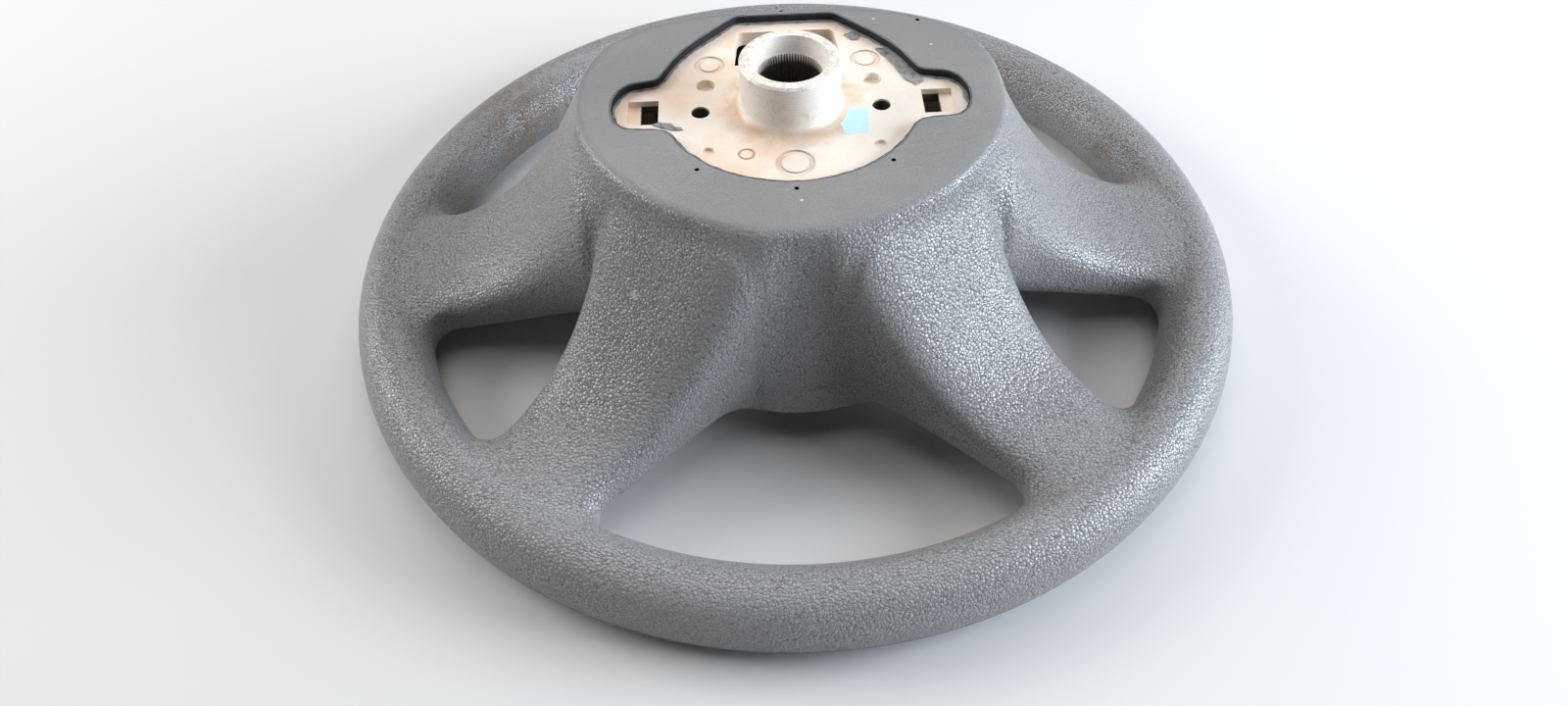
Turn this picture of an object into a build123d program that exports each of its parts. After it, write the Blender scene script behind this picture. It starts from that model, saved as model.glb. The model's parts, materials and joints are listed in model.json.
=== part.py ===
from build123d import *

import os
from math import copysign, cos, hypot, pi, radians, sin

# Rim, over the foam
RIM_DIAMETER = 370.0
RIM_SECTION_WIDTH = 29.0
RIM_SECTION_HEIGHT = 32.0
RIM_CORE_DIAMETER = 12.0

# Hub foam: heights are above the surface that the rim lies on, reaches are from the axis
FACE_HEIGHT = 104.6
FRONT_HEIGHT = 20.0
HUB_HALF_WIDTH = 82.8
HUB_TOP_REACH = 59.3
HUB_BOTTOM_REACH = 76.6
HUB_SIDE_FLARE = 8.0
HUB_BOTTOM_FLARE = 12.5
HUB_TOP_BLUNTNESS = 2.7
HUB_BOTTOM_BLUNTNESS = 1.87
HUB_WALL = 9.0
FACE_EDGE_RADIUS = 3.4
OUTLINE_POINTS = 32

# Spokes: two level ones and two that slant down to the lower rim. Pairs are for above and below a spoke's middle
LOWER_SPOKE_ANGLE = 49.0
SIDE_SPOKE_HALF_WIDTHS = (23.5, 32.0)
SIDE_SPOKE_FLARES = (20.0, 16.0)
SIDE_SPOKE_FLARE_POWERS = (1.25, 3.5)
LOWER_SPOKE_HALF_WIDTHS = (25.5, 23.5)
LOWER_SPOKE_FLARES = (10.0, 19.0)
LOWER_SPOKE_FLARE_POWERS = (3.5, 1.8)
SPOKE_RIM_FLARE = 3.0
SPOKE_RIM_FLARE_POWER = 8
SPOKE_HUB_RISE = 74.0
SPOKE_HUB_RISE_POWER = 3.1
SPOKE_CREST_EASING = 0.08
SPOKE_SINK_IN_RIM = 1.0
SPOKE_SINK_IN_HUB = 1.0
SPOKE_FRONT_AT_HUB = 18.0
SPOKE_FRONT_AT_RIM = 8.0
SPOKE_BLUNTNESS_AT_HUB = 4.5
SPOKE_BLUNTNESS_AT_RIM = 2.6
SPOKE_BLUNTNESS_POWER = 1.5
SPOKE_STATIONS = (-0.08, 0.0, 0.09, 0.2, 0.32, 0.46, 0.6, 0.74, 0.86, 0.94, 1.0)

# Opening in the foam's face that bares the cast plate: an arc below, two ears and a straight top edge
OPENING_RADIUS = 49.5
OPENING_EAR_REACH = 68.5
OPENING_EAR_BOTTOM = -16.0
OPENING_EAR_TOP = 13.5
OPENING_EAR_CORNER = 5.0
OPENING_SHOULDER = (42.5, 31.0)
OPENING_TOP = 54.3
OPENING_TOP_HALF_WIDTH = 20.0
OPENING_ROUNDING = 3.0

# Cast plate and arms, and the splined boss that the plate is cast round
PLATE_TOP = 101.0
PLATE_THICKNESS = 6.0
PLATE_RADIUS = 66.0
PLATE_INSET = 3.0
COLLAR_TOP = 121.0
COLLAR_RADIUS = 19.2
COLLAR_BASE_RADIUS = 4.5
COLLAR_CHAMFER = 0.8
LEAD_IN_RADIUS = 14.8
LEAD_IN_DEPTH = 6.5
SPLINE_TEETH = 72
SPLINE_ROOT_RADIUS = 12.9
SPLINE_TIP_RADIUS = 12.1
SPLINE_LENGTH = 14.0
BOLT_BORE_RADIUS = 8.3
BOLT_SEAT_THICKNESS = 7.0
BOLT_RECESS_RADIUS = 13.5
BOSS_NECK_RADIUS = 18.0
BOSS_NECK_DROP = 8.0
BOSS_FLANGE_RADIUS = 22.0
BOSS_FLANGE_THICKNESS = 2.5
ARM_THICKNESS = 6.0
ARM_WIDTH = 26.0
ARM_BEND_RADIUS = 7.0
ARM_ROOT = 35.0
ARM_BENDS = ((-12.0, 0.0), (-8.0, 0.17), (0.0, 0.45), (13.0, 0.72), (43.0, 0.86))

# Holes and marks on the cast plate: right-hand ones, the left ones mirror them
THROUGH_HOLE = (34.6, -3.9)
THROUGH_HOLE_DIAMETER = 7.1
BLIND_HOLE = (32.5, 12.8)
BLIND_HOLE_DIAMETER = 7.5
BLIND_HOLE_DEPTH = 3.0
DIMPLE = (32.1, -27.4)
DIMPLE_DIAMETER = 5.0
DIMPLE_DEPTH = 1.2
RING_MARK = (31.0, 26.1)
RING_MARK_DIAMETERS = (11.7, 7.8)
FRONT_RING_MARK = (0.0, -35.8)
FRONT_RING_MARK_DIAMETERS = (14.3, 10.6)
STAMP_MARK = (-17.8, -29.7)
STAMP_MARK_DIAMETERS = (6.3, 4.7)
MARK_DEPTH = 0.5
WINDOW_BACK = 47.5
WINDOW_FRONT = 25.0
WINDOW_BACK_HALF_WIDTH = 19.6
WINDOW_FRONT_HALF_WIDTH = 21.9
WINDOW_CORNER_RADIUS = 3.0
RELEASE_HOLE_X = (50.7, 57.5)
RELEASE_HOLE_Y = (-10.0, 4.5)
EAR_RECESS_X = (50.7, 62.5)
EAR_RECESS_Y = (-10.0, 4.5)
EAR_RECESS_DEPTH = 2.5

# Horn pad: a cover and a gas module that float together on springs
HORN_TRAVEL = 2.5
PAD_GAP = 1.5
PAD_WALL = 3.0
PAD_CROWN_HEIGHT = 9.0
PAD_CROWN_RADIUS = 360.0
PAD_CROWN_CENTRE = -9.0
PAD_FLANGE_WIDTH = 7.0
PAD_FLANGE_THICKNESS = 3.0
TRAY_TOP = 58.0
TRAY_THICKNESS = 1.6
TRAY_STEP = 1.5
RIVET_COUNT = 8
RIVET_RADIUS = 1.6
RIVET_HEAD_RADIUS = 3.0
RIVET_HEAD_HEIGHT = 1.0
CUSHION_CLEARANCE = 0.5
CUSHION_NECK = 0.6
GENERATOR_RADIUS = 30.0
GENERATOR_BOTTOM = 36.0
GENERATOR_CAP_RADIUS = 26.0
GENERATOR_CAP_TOP = 73.0
GENERATOR_FLANGE_RADIUS = 43.0
GENERATOR_FLANGE_THICKNESS = 2.0
GENERATOR_SOCKET_RADIUS = 8.0
GENERATOR_SOCKET_DEPTH = 6.0
GENERATOR_CLEARANCE = 0.5
RETAINER_INNER_RADIUS = 33.0
RETAINER_OUTER_RADIUS = 43.0
RETAINER_THICKNESS = 2.0
STUD_CIRCLE_RADIUS = 37.0
STUD_RADIUS = 3.0
STUD_TOP = 67.0
STUD_COUNT = 4
STUD_CLEARANCE = 0.2
NUT_ACROSS_FLATS = 10.0
NUT_HEIGHT = 5.0
THREAD_CLEARANCE = 0.05

# Horn springs with their guides, at three places round the gas module
GUIDE_PLACES = {"top_left": (-50.0, 29.0), "top_right": (50.0, 29.0), "bottom": (0.0, -56.0)}
GUIDE_BOSS_RADIUS = 8.0
GUIDE_BOSS_LENGTH = 15.0
GUIDE_BUSH_RADIUS = 6.0
GUIDE_BUSH_LIP = 1.2
GUIDE_PIN_RADIUS = 3.5
GUIDE_PIN_ENTRY = 5.0
GUIDE_PIN_FOOT_RADIUS = 4.6
GUIDE_PIN_FOOT_HEIGHT = 2.0
GUIDE_CLEARANCE = 0.3
SPRING_RADIUS = 6.2
SPRING_WIRE_RADIUS = 0.7
SPRING_TURNS = 5
SPRING_SEAT_GAP = 0.3

# Wire locks under the plate and the hooks that they catch
LOCK_WIRE_RADIUS = 1.25
LOCK_WIRE_X = 57.0
LOCK_WIRE_DROP = 9.0
LOCK_WIRE_Y = (-26.0, 18.0)
LOCK_WIRE_TAIL = 9.0
LOCK_LUG_Y = (-22.0, 10.5)
LOCK_LUG_WIDTH = 7.0
LOCK_LUG_LENGTH = 6.0
LOCK_LUG_FLOOR = 2.0
HOOK_Y = -4.2
HOOK_THICKNESS = 3.0
HOOK_STEM_WIDTH = 6.0
HOOK_NOSE_REACH = 5.0
HOOK_NOSE_HEIGHT = 3.4
HOOK_FOOT_LENGTH = 9.0
HOOK_FOOT_THICKNESS = 2.0
LOCK_GAP = 0.3

# Horn contacts
CONTACT_PLACE = (27.0, -47.0)
CONTACT_BLOCK_WIDTH = 13.0
CONTACT_BLOCK_DEPTH = 9.0
CONTACT_BLOCK_HEIGHT = 7.0
CONTACT_STRIP_THICKNESS = 0.8
CONTACT_PIN_RADIUS = 2.5
CONTACT_PIN_FOOT_RADIUS = 4.0
CONTACT_PIN_FOOT_HEIGHT = 1.5
CONTACT_SPARE_GAP = 0.3

RIM_RADIUS = (RIM_DIAMETER - RIM_SECTION_WIDTH) / 2
RIM_CENTRE = RIM_SECTION_HEIGHT / 2
PLATE_BOTTOM = PLATE_TOP - PLATE_THICKNESS
TRAY_BOTTOM = TRAY_TOP - TRAY_THICKNESS
SPLINE_TOP = COLLAR_TOP - LEAD_IN_DEPTH
SPLINE_BOTTOM = SPLINE_TOP - SPLINE_LENGTH
BOLT_SEAT_BOTTOM = SPLINE_BOTTOM - BOLT_SEAT_THICKNESS
FLANGE_TOP = TRAY_TOP + GENERATOR_FLANGE_THICKNESS
BOSS_BOTTOM = PLATE_BOTTOM - BOSS_NECK_DROP
COLLAR_BOTTOM = PLATE_TOP + COLLAR_BASE_RADIUS
GUIDE_BOSS_BOTTOM = PLATE_BOTTOM - GUIDE_BOSS_LENGTH
LOCK_WIRE_HEIGHT = PLATE_BOTTOM - LOCK_WIRE_DROP
CONTACT_BLOCK_BOTTOM = PLATE_BOTTOM - CONTACT_BLOCK_HEIGHT
RIGHT, LEFT = 1, -1


def oval(half_width, top, bottom, top_bluntness, bottom_bluntness):
    """Points round a closed oval whose two halves have their own reach and bluntness."""
    points = []
    for step in range(OUTLINE_POINTS):
        angle = 2 * pi * step / OUTLINE_POINTS
        across, along = cos(angle), sin(angle)
        upper = along >= 0
        power = 2 / (top_bluntness if upper else bottom_bluntness)
        x = copysign(half_width * abs(across) ** power, across)
        y = copysign((top if upper else bottom) * abs(along) ** power, along)
        points.append((x, y))
    return points


def hub_outline(height, inset=0.0):
    """The hub's outline at a height, moved in by an inset: it flares towards the driver."""
    share = (FACE_HEIGHT - height) / (FACE_HEIGHT - FRONT_HEIGHT)
    side_growth = HUB_SIDE_FLARE * share - inset
    bottom_growth = HUB_BOTTOM_FLARE * share - inset
    points = oval(
        HUB_HALF_WIDTH + side_growth,
        HUB_TOP_REACH + side_growth,
        HUB_BOTTOM_REACH + bottom_growth,
        HUB_TOP_BLUNTNESS,
        HUB_BOTTOM_BLUNTNESS,
    )
    return Face(Wire(Spline(*[(x, y, height) for x, y in points], periodic=True)))


def hub_block(low, high, inset=0.0):
    """The hub's own form between two heights, moved in by an inset."""
    return loft([hub_outline(low, inset), hub_outline(high, inset)], ruled=True)


def hub_reach(angle):
    """How far the face's edge lies from the axis in a direction on its lower half."""
    across = abs(cos(radians(angle))) / HUB_HALF_WIDTH
    down = abs(sin(radians(angle))) / HUB_BOTTOM_REACH
    total = across**HUB_BOTTOM_BLUNTNESS + down**HUB_BOTTOM_BLUNTNESS
    return total ** (-1 / HUB_BOTTOM_BLUNTNESS)


def disc(radius, low, high, x=0.0, y=0.0):
    """An upright cylinder between two heights."""
    return Pos(x, y, (low + high) / 2) * Cylinder(radius, high - low)


def block(x_range, y_range, z_range):
    """A box between three pairs of limits."""
    size = [high - low for low, high in (x_range, y_range, z_range)]
    middle = [(low + high) / 2 for low, high in (x_range, y_range, z_range)]
    return Pos(*middle) * Box(*size)


def both_sides(place):
    """A right-hand place and its mirror image on the left."""
    return [(place[0], place[1]), (-place[0], place[1])]


def spoke_section(step, half_widths, flares, powers):
    """A spoke's reaches above and below its middle, its crest and front heights and its bluntness, at a step."""
    to_rim = max(step, 0.0)
    rim_flare = SPOKE_RIM_FLARE * to_rim**SPOKE_RIM_FLARE_POWER
    fades = [(1 - abs(step)) ** power for power in powers]
    above, below = [half + flare * fade + rim_flare for half, flare, fade in zip(half_widths, flares, fades)]
    eased = (step + hypot(step, SPOKE_CREST_EASING)) / 2
    rise = SPOKE_HUB_RISE * max(1 - eased, 0.0) ** SPOKE_HUB_RISE_POWER
    front = SPOKE_FRONT_AT_HUB + (SPOKE_FRONT_AT_RIM - SPOKE_FRONT_AT_HUB) * to_rim
    blunter = (SPOKE_BLUNTNESS_AT_HUB - SPOKE_BLUNTNESS_AT_RIM) * (1 - to_rim) ** SPOKE_BLUNTNESS_POWER
    return above, below, RIM_SECTION_HEIGHT - SPOKE_SINK_IN_RIM + rise, front, SPOKE_BLUNTNESS_AT_RIM + blunter


def spoke(angle, half_widths, flares, powers):
    """One spoke's foam, lofted from inside the hub's wall to the middle of the rim."""
    along = Vector(cos(radians(angle)), sin(radians(angle)), 0)
    across = Vector(-along.Y, along.X, 0) * copysign(1, along.X)
    start = hub_reach(angle) - SPOKE_SINK_IN_HUB
    sections = []
    for step in SPOKE_STATIONS:
        above, below, crest, front, bluntness = spoke_section(step, half_widths, flares, powers)
        reach = start + (RIM_RADIUS - start) * step
        half_height = (crest - front) / 2
        middle = along * reach + across * ((above - below) / 2) + Vector(0, 0, front + half_height)
        plane = Plane(middle, across, along)
        points = oval((above + below) / 2, half_height, half_height, bluntness, bluntness)
        wire = Wire(Spline(*[plane.from_local_coords((x, y, 0)) for x, y in points], periodic=True))
        sections.append(Face(wire))
    return loft(sections)


def arm(angle):
    """One cast arm, cranked from the plate's level down the hub's wall and out to the rim's core."""
    edge = hub_reach(angle)
    middle = PLATE_TOP - ARM_THICKNESS / 2
    drop = middle - RIM_CENTRE
    bends = [(edge + step, middle - share * drop) for step, share in ARM_BENDS]
    path = FilletPolyline(
        (edge - ARM_ROOT, middle),
        *bends,
        (RIM_RADIUS, RIM_CENTRE),
        radius=ARM_BEND_RADIUS,
    )
    direction = (cos(radians(angle)), sin(radians(angle)), 0)
    side = (sin(radians(angle)), -cos(radians(angle)), 0)
    profile = Plane((0, 0, 0), direction, side) * trace(path, ARM_THICKNESS)
    return extrude(profile, amount=ARM_WIDTH / 2, both=True)


def spoke_angles():
    """Directions of the four spokes, in degrees from the right-hand level one."""
    return [0.0, 180.0, -LOWER_SPOKE_ANGLE, LOWER_SPOKE_ANGLE - 180.0]


def ring(section_width, section_height):
    """A ring along the middle of the rim."""
    section = Plane.XZ * Pos(RIM_RADIUS, RIM_CENTRE) * Ellipse(section_width / 2, section_height / 2)
    return revolve(section, Axis.Z)


def spline_cut():
    """The toothed hole that the steering shaft's end fits."""
    points = []
    for step in range(2 * SPLINE_TEETH):
        radius = SPLINE_ROOT_RADIUS if step % 2 else SPLINE_TIP_RADIUS
        angle = pi * step / SPLINE_TEETH
        points.append((radius * cos(angle), radius * sin(angle)))
    outline = make_face(Polyline(*points, close=True))
    return extrude(Pos(0, 0, SPLINE_BOTTOM) * outline, amount=SPLINE_LENGTH)


def boss_form():
    """The boss's outside: a neck through the plate, a flange held in the plate and a collar above it."""
    collar = disc(COLLAR_RADIUS, COLLAR_BOTTOM, COLLAR_TOP)
    collar = chamfer(collar.edges().group_by(Axis.Z)[-1], COLLAR_CHAMFER)
    flange = disc(BOSS_FLANGE_RADIUS, PLATE_BOTTOM, PLATE_BOTTOM + BOSS_FLANGE_THICKNESS)
    return collar + flange + disc(BOSS_NECK_RADIUS, BOSS_BOTTOM, COLLAR_BOTTOM)


def hub_boss():
    """The turned boss with its splined bore and the bolt's seat, from the mouth to the bolt's recess."""
    mouth = Pos(0, 0, (SPLINE_TOP + COLLAR_TOP) / 2) * Cone(SPLINE_ROOT_RADIUS, LEAD_IN_RADIUS, LEAD_IN_DEPTH)
    bolt = disc(BOLT_BORE_RADIUS, BOLT_SEAT_BOTTOM, SPLINE_BOTTOM)
    recess = disc(BOLT_RECESS_RADIUS, BOSS_BOTTOM, BOLT_SEAT_BOTTOM)
    return boss_form() - [mouth, spline_cut(), bolt, recess]


def plate_cuts():
    """Holes, window and shallow marks in the cast plate."""
    through = (PLATE_BOTTOM, PLATE_TOP)
    cuts = []
    for x, y in both_sides(THROUGH_HOLE):
        cuts.append(disc(THROUGH_HOLE_DIAMETER / 2, *through, x, y))
    for x, y in both_sides(BLIND_HOLE):
        cuts.append(disc(BLIND_HOLE_DIAMETER / 2, PLATE_TOP - BLIND_HOLE_DEPTH, PLATE_TOP, x, y))
    for x, y in both_sides(DIMPLE):
        cuts.append(disc(DIMPLE_DIAMETER / 2, PLATE_TOP - DIMPLE_DEPTH, PLATE_TOP, x, y))
    marks = [(place, RING_MARK_DIAMETERS) for place in both_sides(RING_MARK)]
    marks += [(FRONT_RING_MARK, FRONT_RING_MARK_DIAMETERS), (STAMP_MARK, STAMP_MARK_DIAMETERS)]
    for (x, y), (outer, inner) in marks:
        groove = disc(outer / 2, PLATE_TOP - MARK_DEPTH, PLATE_TOP, x, y)
        cuts.append(groove - disc(inner / 2, PLATE_TOP - MARK_DEPTH, PLATE_TOP, x, y))
    for side in (LEFT, RIGHT):
        cuts.append(block(sorted(side * x for x in RELEASE_HOLE_X), RELEASE_HOLE_Y, through))
        recess = (PLATE_TOP - EAR_RECESS_DEPTH, PLATE_TOP)
        cuts.append(block(sorted(side * x for x in EAR_RECESS_X), EAR_RECESS_Y, recess))
    window = Polyline(
        (-WINDOW_FRONT_HALF_WIDTH, WINDOW_FRONT),
        (WINDOW_FRONT_HALF_WIDTH, WINDOW_FRONT),
        (WINDOW_BACK_HALF_WIDTH, WINDOW_BACK),
        (-WINDOW_BACK_HALF_WIDTH, WINDOW_BACK),
        close=True,
    )
    window = make_face(window)
    window = fillet(window.vertices().group_by(Axis.Y)[-1], WINDOW_CORNER_RADIUS)
    cuts.append(extrude(Pos(0, 0, PLATE_BOTTOM) * window, amount=PLATE_THICKNESS))
    return cuts


def guide_bosses():
    """Bosses under the plate that take the guide bushes, each with a blind bore."""
    bosses = []
    for x, y in GUIDE_PLACES.values():
        boss = disc(GUIDE_BOSS_RADIUS, GUIDE_BOSS_BOTTOM, PLATE_BOTTOM, x, y)
        bosses.append(boss - disc(GUIDE_BUSH_RADIUS, GUIDE_BOSS_BOTTOM, PLATE_BOTTOM, x, y))
    return bosses


def lock_lugs():
    """Lugs under the plate that hold the two lock wires."""
    lugs = []
    for side in (LEFT, RIGHT):
        x = side * LOCK_WIRE_X
        for y in LOCK_LUG_Y:
            lug = block(
                (x - LOCK_LUG_WIDTH / 2, x + LOCK_LUG_WIDTH / 2),
                (y - LOCK_LUG_LENGTH / 2, y + LOCK_LUG_LENGTH / 2),
                (LOCK_WIRE_HEIGHT - LOCK_WIRE_RADIUS - LOCK_LUG_FLOOR, PLATE_BOTTOM),
            )
            bore = Pos(x, y, LOCK_WIRE_HEIGHT) * Rot(90, 0, 0) * Cylinder(LOCK_WIRE_RADIUS, LOCK_LUG_LENGTH)
            lugs.append(lug - bore)
    return lugs


def armature():
    """The one-piece casting: hub plate with a fillet up to the boss, arms and the ring inside the rim."""
    plate = disc(PLATE_RADIUS, PLATE_BOTTOM, PLATE_TOP) & hub_block(PLATE_BOTTOM, PLATE_TOP, PLATE_INSET)
    casting = plate + disc(COLLAR_RADIUS, PLATE_BOTTOM, COLLAR_TOP)
    base = casting.edges().filter_by(GeomType.CIRCLE).filter_by_position(Axis.Z, PLATE_TOP, PLATE_TOP)
    base = base.filter_by(lambda edge: abs(edge.radius - COLLAR_RADIUS) < MARK_DEPTH)
    casting = fillet(base, COLLAR_BASE_RADIUS) - disc(COLLAR_RADIUS, COLLAR_BOTTOM, COLLAR_TOP)
    casting += [arm(angle) for angle in spoke_angles()]
    casting += ring(RIM_CORE_DIAMETER, RIM_CORE_DIAMETER)
    casting += guide_bosses()
    casting += lock_lugs()
    return casting - boss_form() - plate_cuts()


def foam_opening():
    """The space cut through the foam's face over the plate and its two ears."""
    corner = OPENING_EAR_CORNER
    half = [
        (OPENING_TOP_HALF_WIDTH, OPENING_TOP),
        OPENING_SHOULDER,
        (OPENING_RADIUS, OPENING_EAR_TOP),
        (OPENING_EAR_REACH - corner, OPENING_EAR_TOP),
        (OPENING_EAR_REACH, OPENING_EAR_TOP - 2 * corner),
        (OPENING_EAR_REACH, OPENING_EAR_BOTTOM + corner),
        (OPENING_EAR_REACH - corner, OPENING_EAR_BOTTOM),
    ]
    mirrored = [(-x, y) for x, y in reversed(half)]
    outline = make_face(Polyline(*half, *mirrored, close=True)) + Circle(OPENING_RADIUS)
    outline = fillet(outline.vertices(), OPENING_ROUNDING)
    return extrude(Pos(0, 0, PLATE_BOTTOM) * outline, amount=FACE_HEIGHT - PLATE_BOTTOM)


def foam_cover(casting):
    """The moulded foam over rim, spokes and hub, in one piece round the casting."""
    hub = hub_block(FRONT_HEIGHT, FACE_HEIGHT)
    hub = fillet(hub.edges().group_by(Axis.Z)[-1], FACE_EDGE_RADIUS)
    right, left, lower_right, lower_left = spoke_angles()
    side_form = (SIDE_SPOKE_HALF_WIDTHS, SIDE_SPOKE_FLARES, SIDE_SPOKE_FLARE_POWERS)
    lower_form = (LOWER_SPOKE_HALF_WIDTHS, LOWER_SPOKE_FLARES, LOWER_SPOKE_FLARE_POWERS)
    spokes = [spoke(angle, *side_form) for angle in (right, left)]
    spokes += [spoke(angle, *lower_form) for angle in (lower_right, lower_left)]
    cover = ring(RIM_SECTION_WIDTH, RIM_SECTION_HEIGHT) + hub + spokes
    cavity = hub_block(0.0, PLATE_BOTTOM, HUB_WALL)
    return cover - [cavity, foam_opening(), casting]


def pad_form(inset, wall, top):
    """The pad's form up to a height: the hub's cavity, moved in, closed by a domed front."""
    dome_centre = PAD_CROWN_HEIGHT + PAD_CROWN_RADIUS
    dome = Pos(0, PAD_CROWN_CENTRE, dome_centre) * Sphere(PAD_CROWN_RADIUS - wall)
    return hub_block(0.0, top, inset + wall) & dome


def rivet_places():
    """Places along the middle of the pad's flange, evenly spread round its outline."""
    outline = hub_outline(TRAY_TOP, HUB_WALL + PAD_GAP + PAD_WALL + PAD_FLANGE_WIDTH / 2)
    points = [outline.outer_wire() @ (step / RIVET_COUNT) for step in range(RIVET_COUNT)]
    return [(point.X, point.Y) for point in points]


def stud_places():
    """Places of the studs on their circle, between the level and the upright direction."""
    angles = [2 * pi * (step + 0.5) / STUD_COUNT for step in range(STUD_COUNT)]
    return [(STUD_CIRCLE_RADIUS * cos(angle), STUD_CIRCLE_RADIUS * sin(angle)) for angle in angles]


def stud_holes(low, high):
    """Clearance holes for the studs between two heights."""
    return [disc(STUD_RADIUS + STUD_CLEARANCE, low, high, x, y) for x, y in stud_places()]


def rivet_holes(low, high):
    """Holes for the rivets between two heights."""
    return [disc(RIVET_RADIUS, low, high, x, y) for x, y in rivet_places()]


def pad_cover():
    """The moulded horn pad: a domed shell with a flange inside its back edge."""
    inset = HUB_WALL + PAD_GAP
    flange_bottom = TRAY_BOTTOM - PAD_FLANGE_THICKNESS
    shell = pad_form(inset, 0.0, TRAY_BOTTOM) - pad_form(inset, PAD_WALL, flange_bottom)
    mouth = hub_block(flange_bottom, TRAY_BOTTOM, inset + PAD_WALL + PAD_FLANGE_WIDTH)
    return shell - mouth - rivet_holes(flange_bottom, TRAY_BOTTOM)


def module_tray():
    """The pressed steel tray that carries the pad and the gas module."""
    plate = hub_block(TRAY_BOTTOM, TRAY_TOP, HUB_WALL + PAD_GAP + TRAY_STEP)
    middle = disc(GENERATOR_RADIUS + GENERATOR_CLEARANCE, TRAY_BOTTOM, TRAY_TOP)
    return plate - middle - stud_holes(TRAY_BOTTOM, TRAY_TOP) - rivet_holes(TRAY_BOTTOM, TRAY_TOP)


def cover_rivets():
    """Rivets that hold the pad's flange to the tray."""
    flange_bottom = TRAY_BOTTOM - PAD_FLANGE_THICKNESS
    rivets = []
    for x, y in rivet_places():
        shank = disc(RIVET_RADIUS, flange_bottom, TRAY_TOP, x, y)
        inner_head = disc(RIVET_HEAD_RADIUS, flange_bottom - RIVET_HEAD_HEIGHT, flange_bottom, x, y)
        outer_head = disc(RIVET_HEAD_RADIUS, TRAY_TOP, TRAY_TOP + RIVET_HEAD_HEIGHT, x, y)
        rivets.append(shank + inner_head + outer_head)
    return Compound(children=rivets)


def folded_cushion():
    """The folded air cushion under the tray, with a hollow for the gas generator."""
    wall = PAD_WALL + PAD_FLANGE_WIDTH + CUSHION_CLEARANCE
    bag = pad_form(HUB_WALL + PAD_GAP, wall, TRAY_BOTTOM)
    neck_bottom = TRAY_BOTTOM - CUSHION_NECK
    hollow = disc(RETAINER_OUTER_RADIUS + CUSHION_CLEARANCE, GENERATOR_BOTTOM - CUSHION_CLEARANCE, neck_bottom)
    neck = disc(GENERATOR_RADIUS + GENERATOR_CLEARANCE, neck_bottom, TRAY_BOTTOM)
    return bag - hollow - neck - stud_holes(neck_bottom, TRAY_BOTTOM)


def cushion_retainer():
    """The ring that clamps the cushion's neck to the tray, with its studs."""
    top = TRAY_BOTTOM - CUSHION_NECK
    bottom = top - RETAINER_THICKNESS
    retainer = disc(RETAINER_OUTER_RADIUS, bottom, top) - disc(RETAINER_INNER_RADIUS, bottom, top)
    return retainer + [disc(STUD_RADIUS, bottom, STUD_TOP, x, y) for x, y in stud_places()]


def retainer_nuts():
    """Hexagon nuts on the studs, one solid each."""
    nuts = []
    for x, y in stud_places():
        hexagon = Pos(x, y, FLANGE_TOP) * RegularPolygon(NUT_ACROSS_FLATS / 2, 6, major_radius=False)
        bore = disc(STUD_RADIUS + THREAD_CLEARANCE, FLANGE_TOP, FLANGE_TOP + NUT_HEIGHT, x, y)
        nuts.append(extrude(hexagon, amount=NUT_HEIGHT) - bore)
    return Compound(children=nuts)


def gas_generator():
    """The gas generator: a can through the tray, a flange on it and a cap with the igniter's socket."""
    can = disc(GENERATOR_RADIUS, GENERATOR_BOTTOM, TRAY_TOP)
    flange = disc(GENERATOR_FLANGE_RADIUS, TRAY_TOP, FLANGE_TOP) - stud_holes(TRAY_TOP, FLANGE_TOP)
    cap = disc(GENERATOR_CAP_RADIUS, FLANGE_TOP, GENERATOR_CAP_TOP)
    socket = disc(GENERATOR_SOCKET_RADIUS, GENERATOR_CAP_TOP - GENERATOR_SOCKET_DEPTH, GENERATOR_CAP_TOP)
    return can + flange + cap - socket


def guide_bush(x, y):
    """A plastic bush in a boss of the casting, with a lip that seats the spring."""
    lip_bottom = GUIDE_BOSS_BOTTOM - GUIDE_BUSH_LIP
    lip = disc(GUIDE_BOSS_RADIUS, lip_bottom, GUIDE_BOSS_BOTTOM, x, y)
    sleeve = disc(GUIDE_BUSH_RADIUS, GUIDE_BOSS_BOTTOM, PLATE_BOTTOM, x, y)
    return lip + sleeve - disc(GUIDE_PIN_RADIUS + GUIDE_CLEARANCE, lip_bottom, PLATE_BOTTOM, x, y)


def guide_pin(x, y):
    """A pin on the tray that slides in a guide bush and keeps the pad square."""
    foot = disc(GUIDE_PIN_FOOT_RADIUS, TRAY_TOP, TRAY_TOP + GUIDE_PIN_FOOT_HEIGHT, x, y)
    return foot + disc(GUIDE_PIN_RADIUS, TRAY_TOP, GUIDE_BOSS_BOTTOM + GUIDE_PIN_ENTRY, x, y)


def horn_spring(x, y):
    """A coil spring between the tray and a guide bush's lip."""
    end = SPRING_SEAT_GAP + SPRING_WIRE_RADIUS
    low = TRAY_TOP + end
    high = GUIDE_BOSS_BOTTOM - GUIDE_BUSH_LIP - end
    coil = Helix((high - low) / SPRING_TURNS, high - low, SPRING_RADIUS)
    section = Plane(coil @ 0, z_dir=coil % 0) * Circle(SPRING_WIRE_RADIUS)
    return Pos(x, y, low) * sweep(section, path=coil, is_frenet=True)


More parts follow.
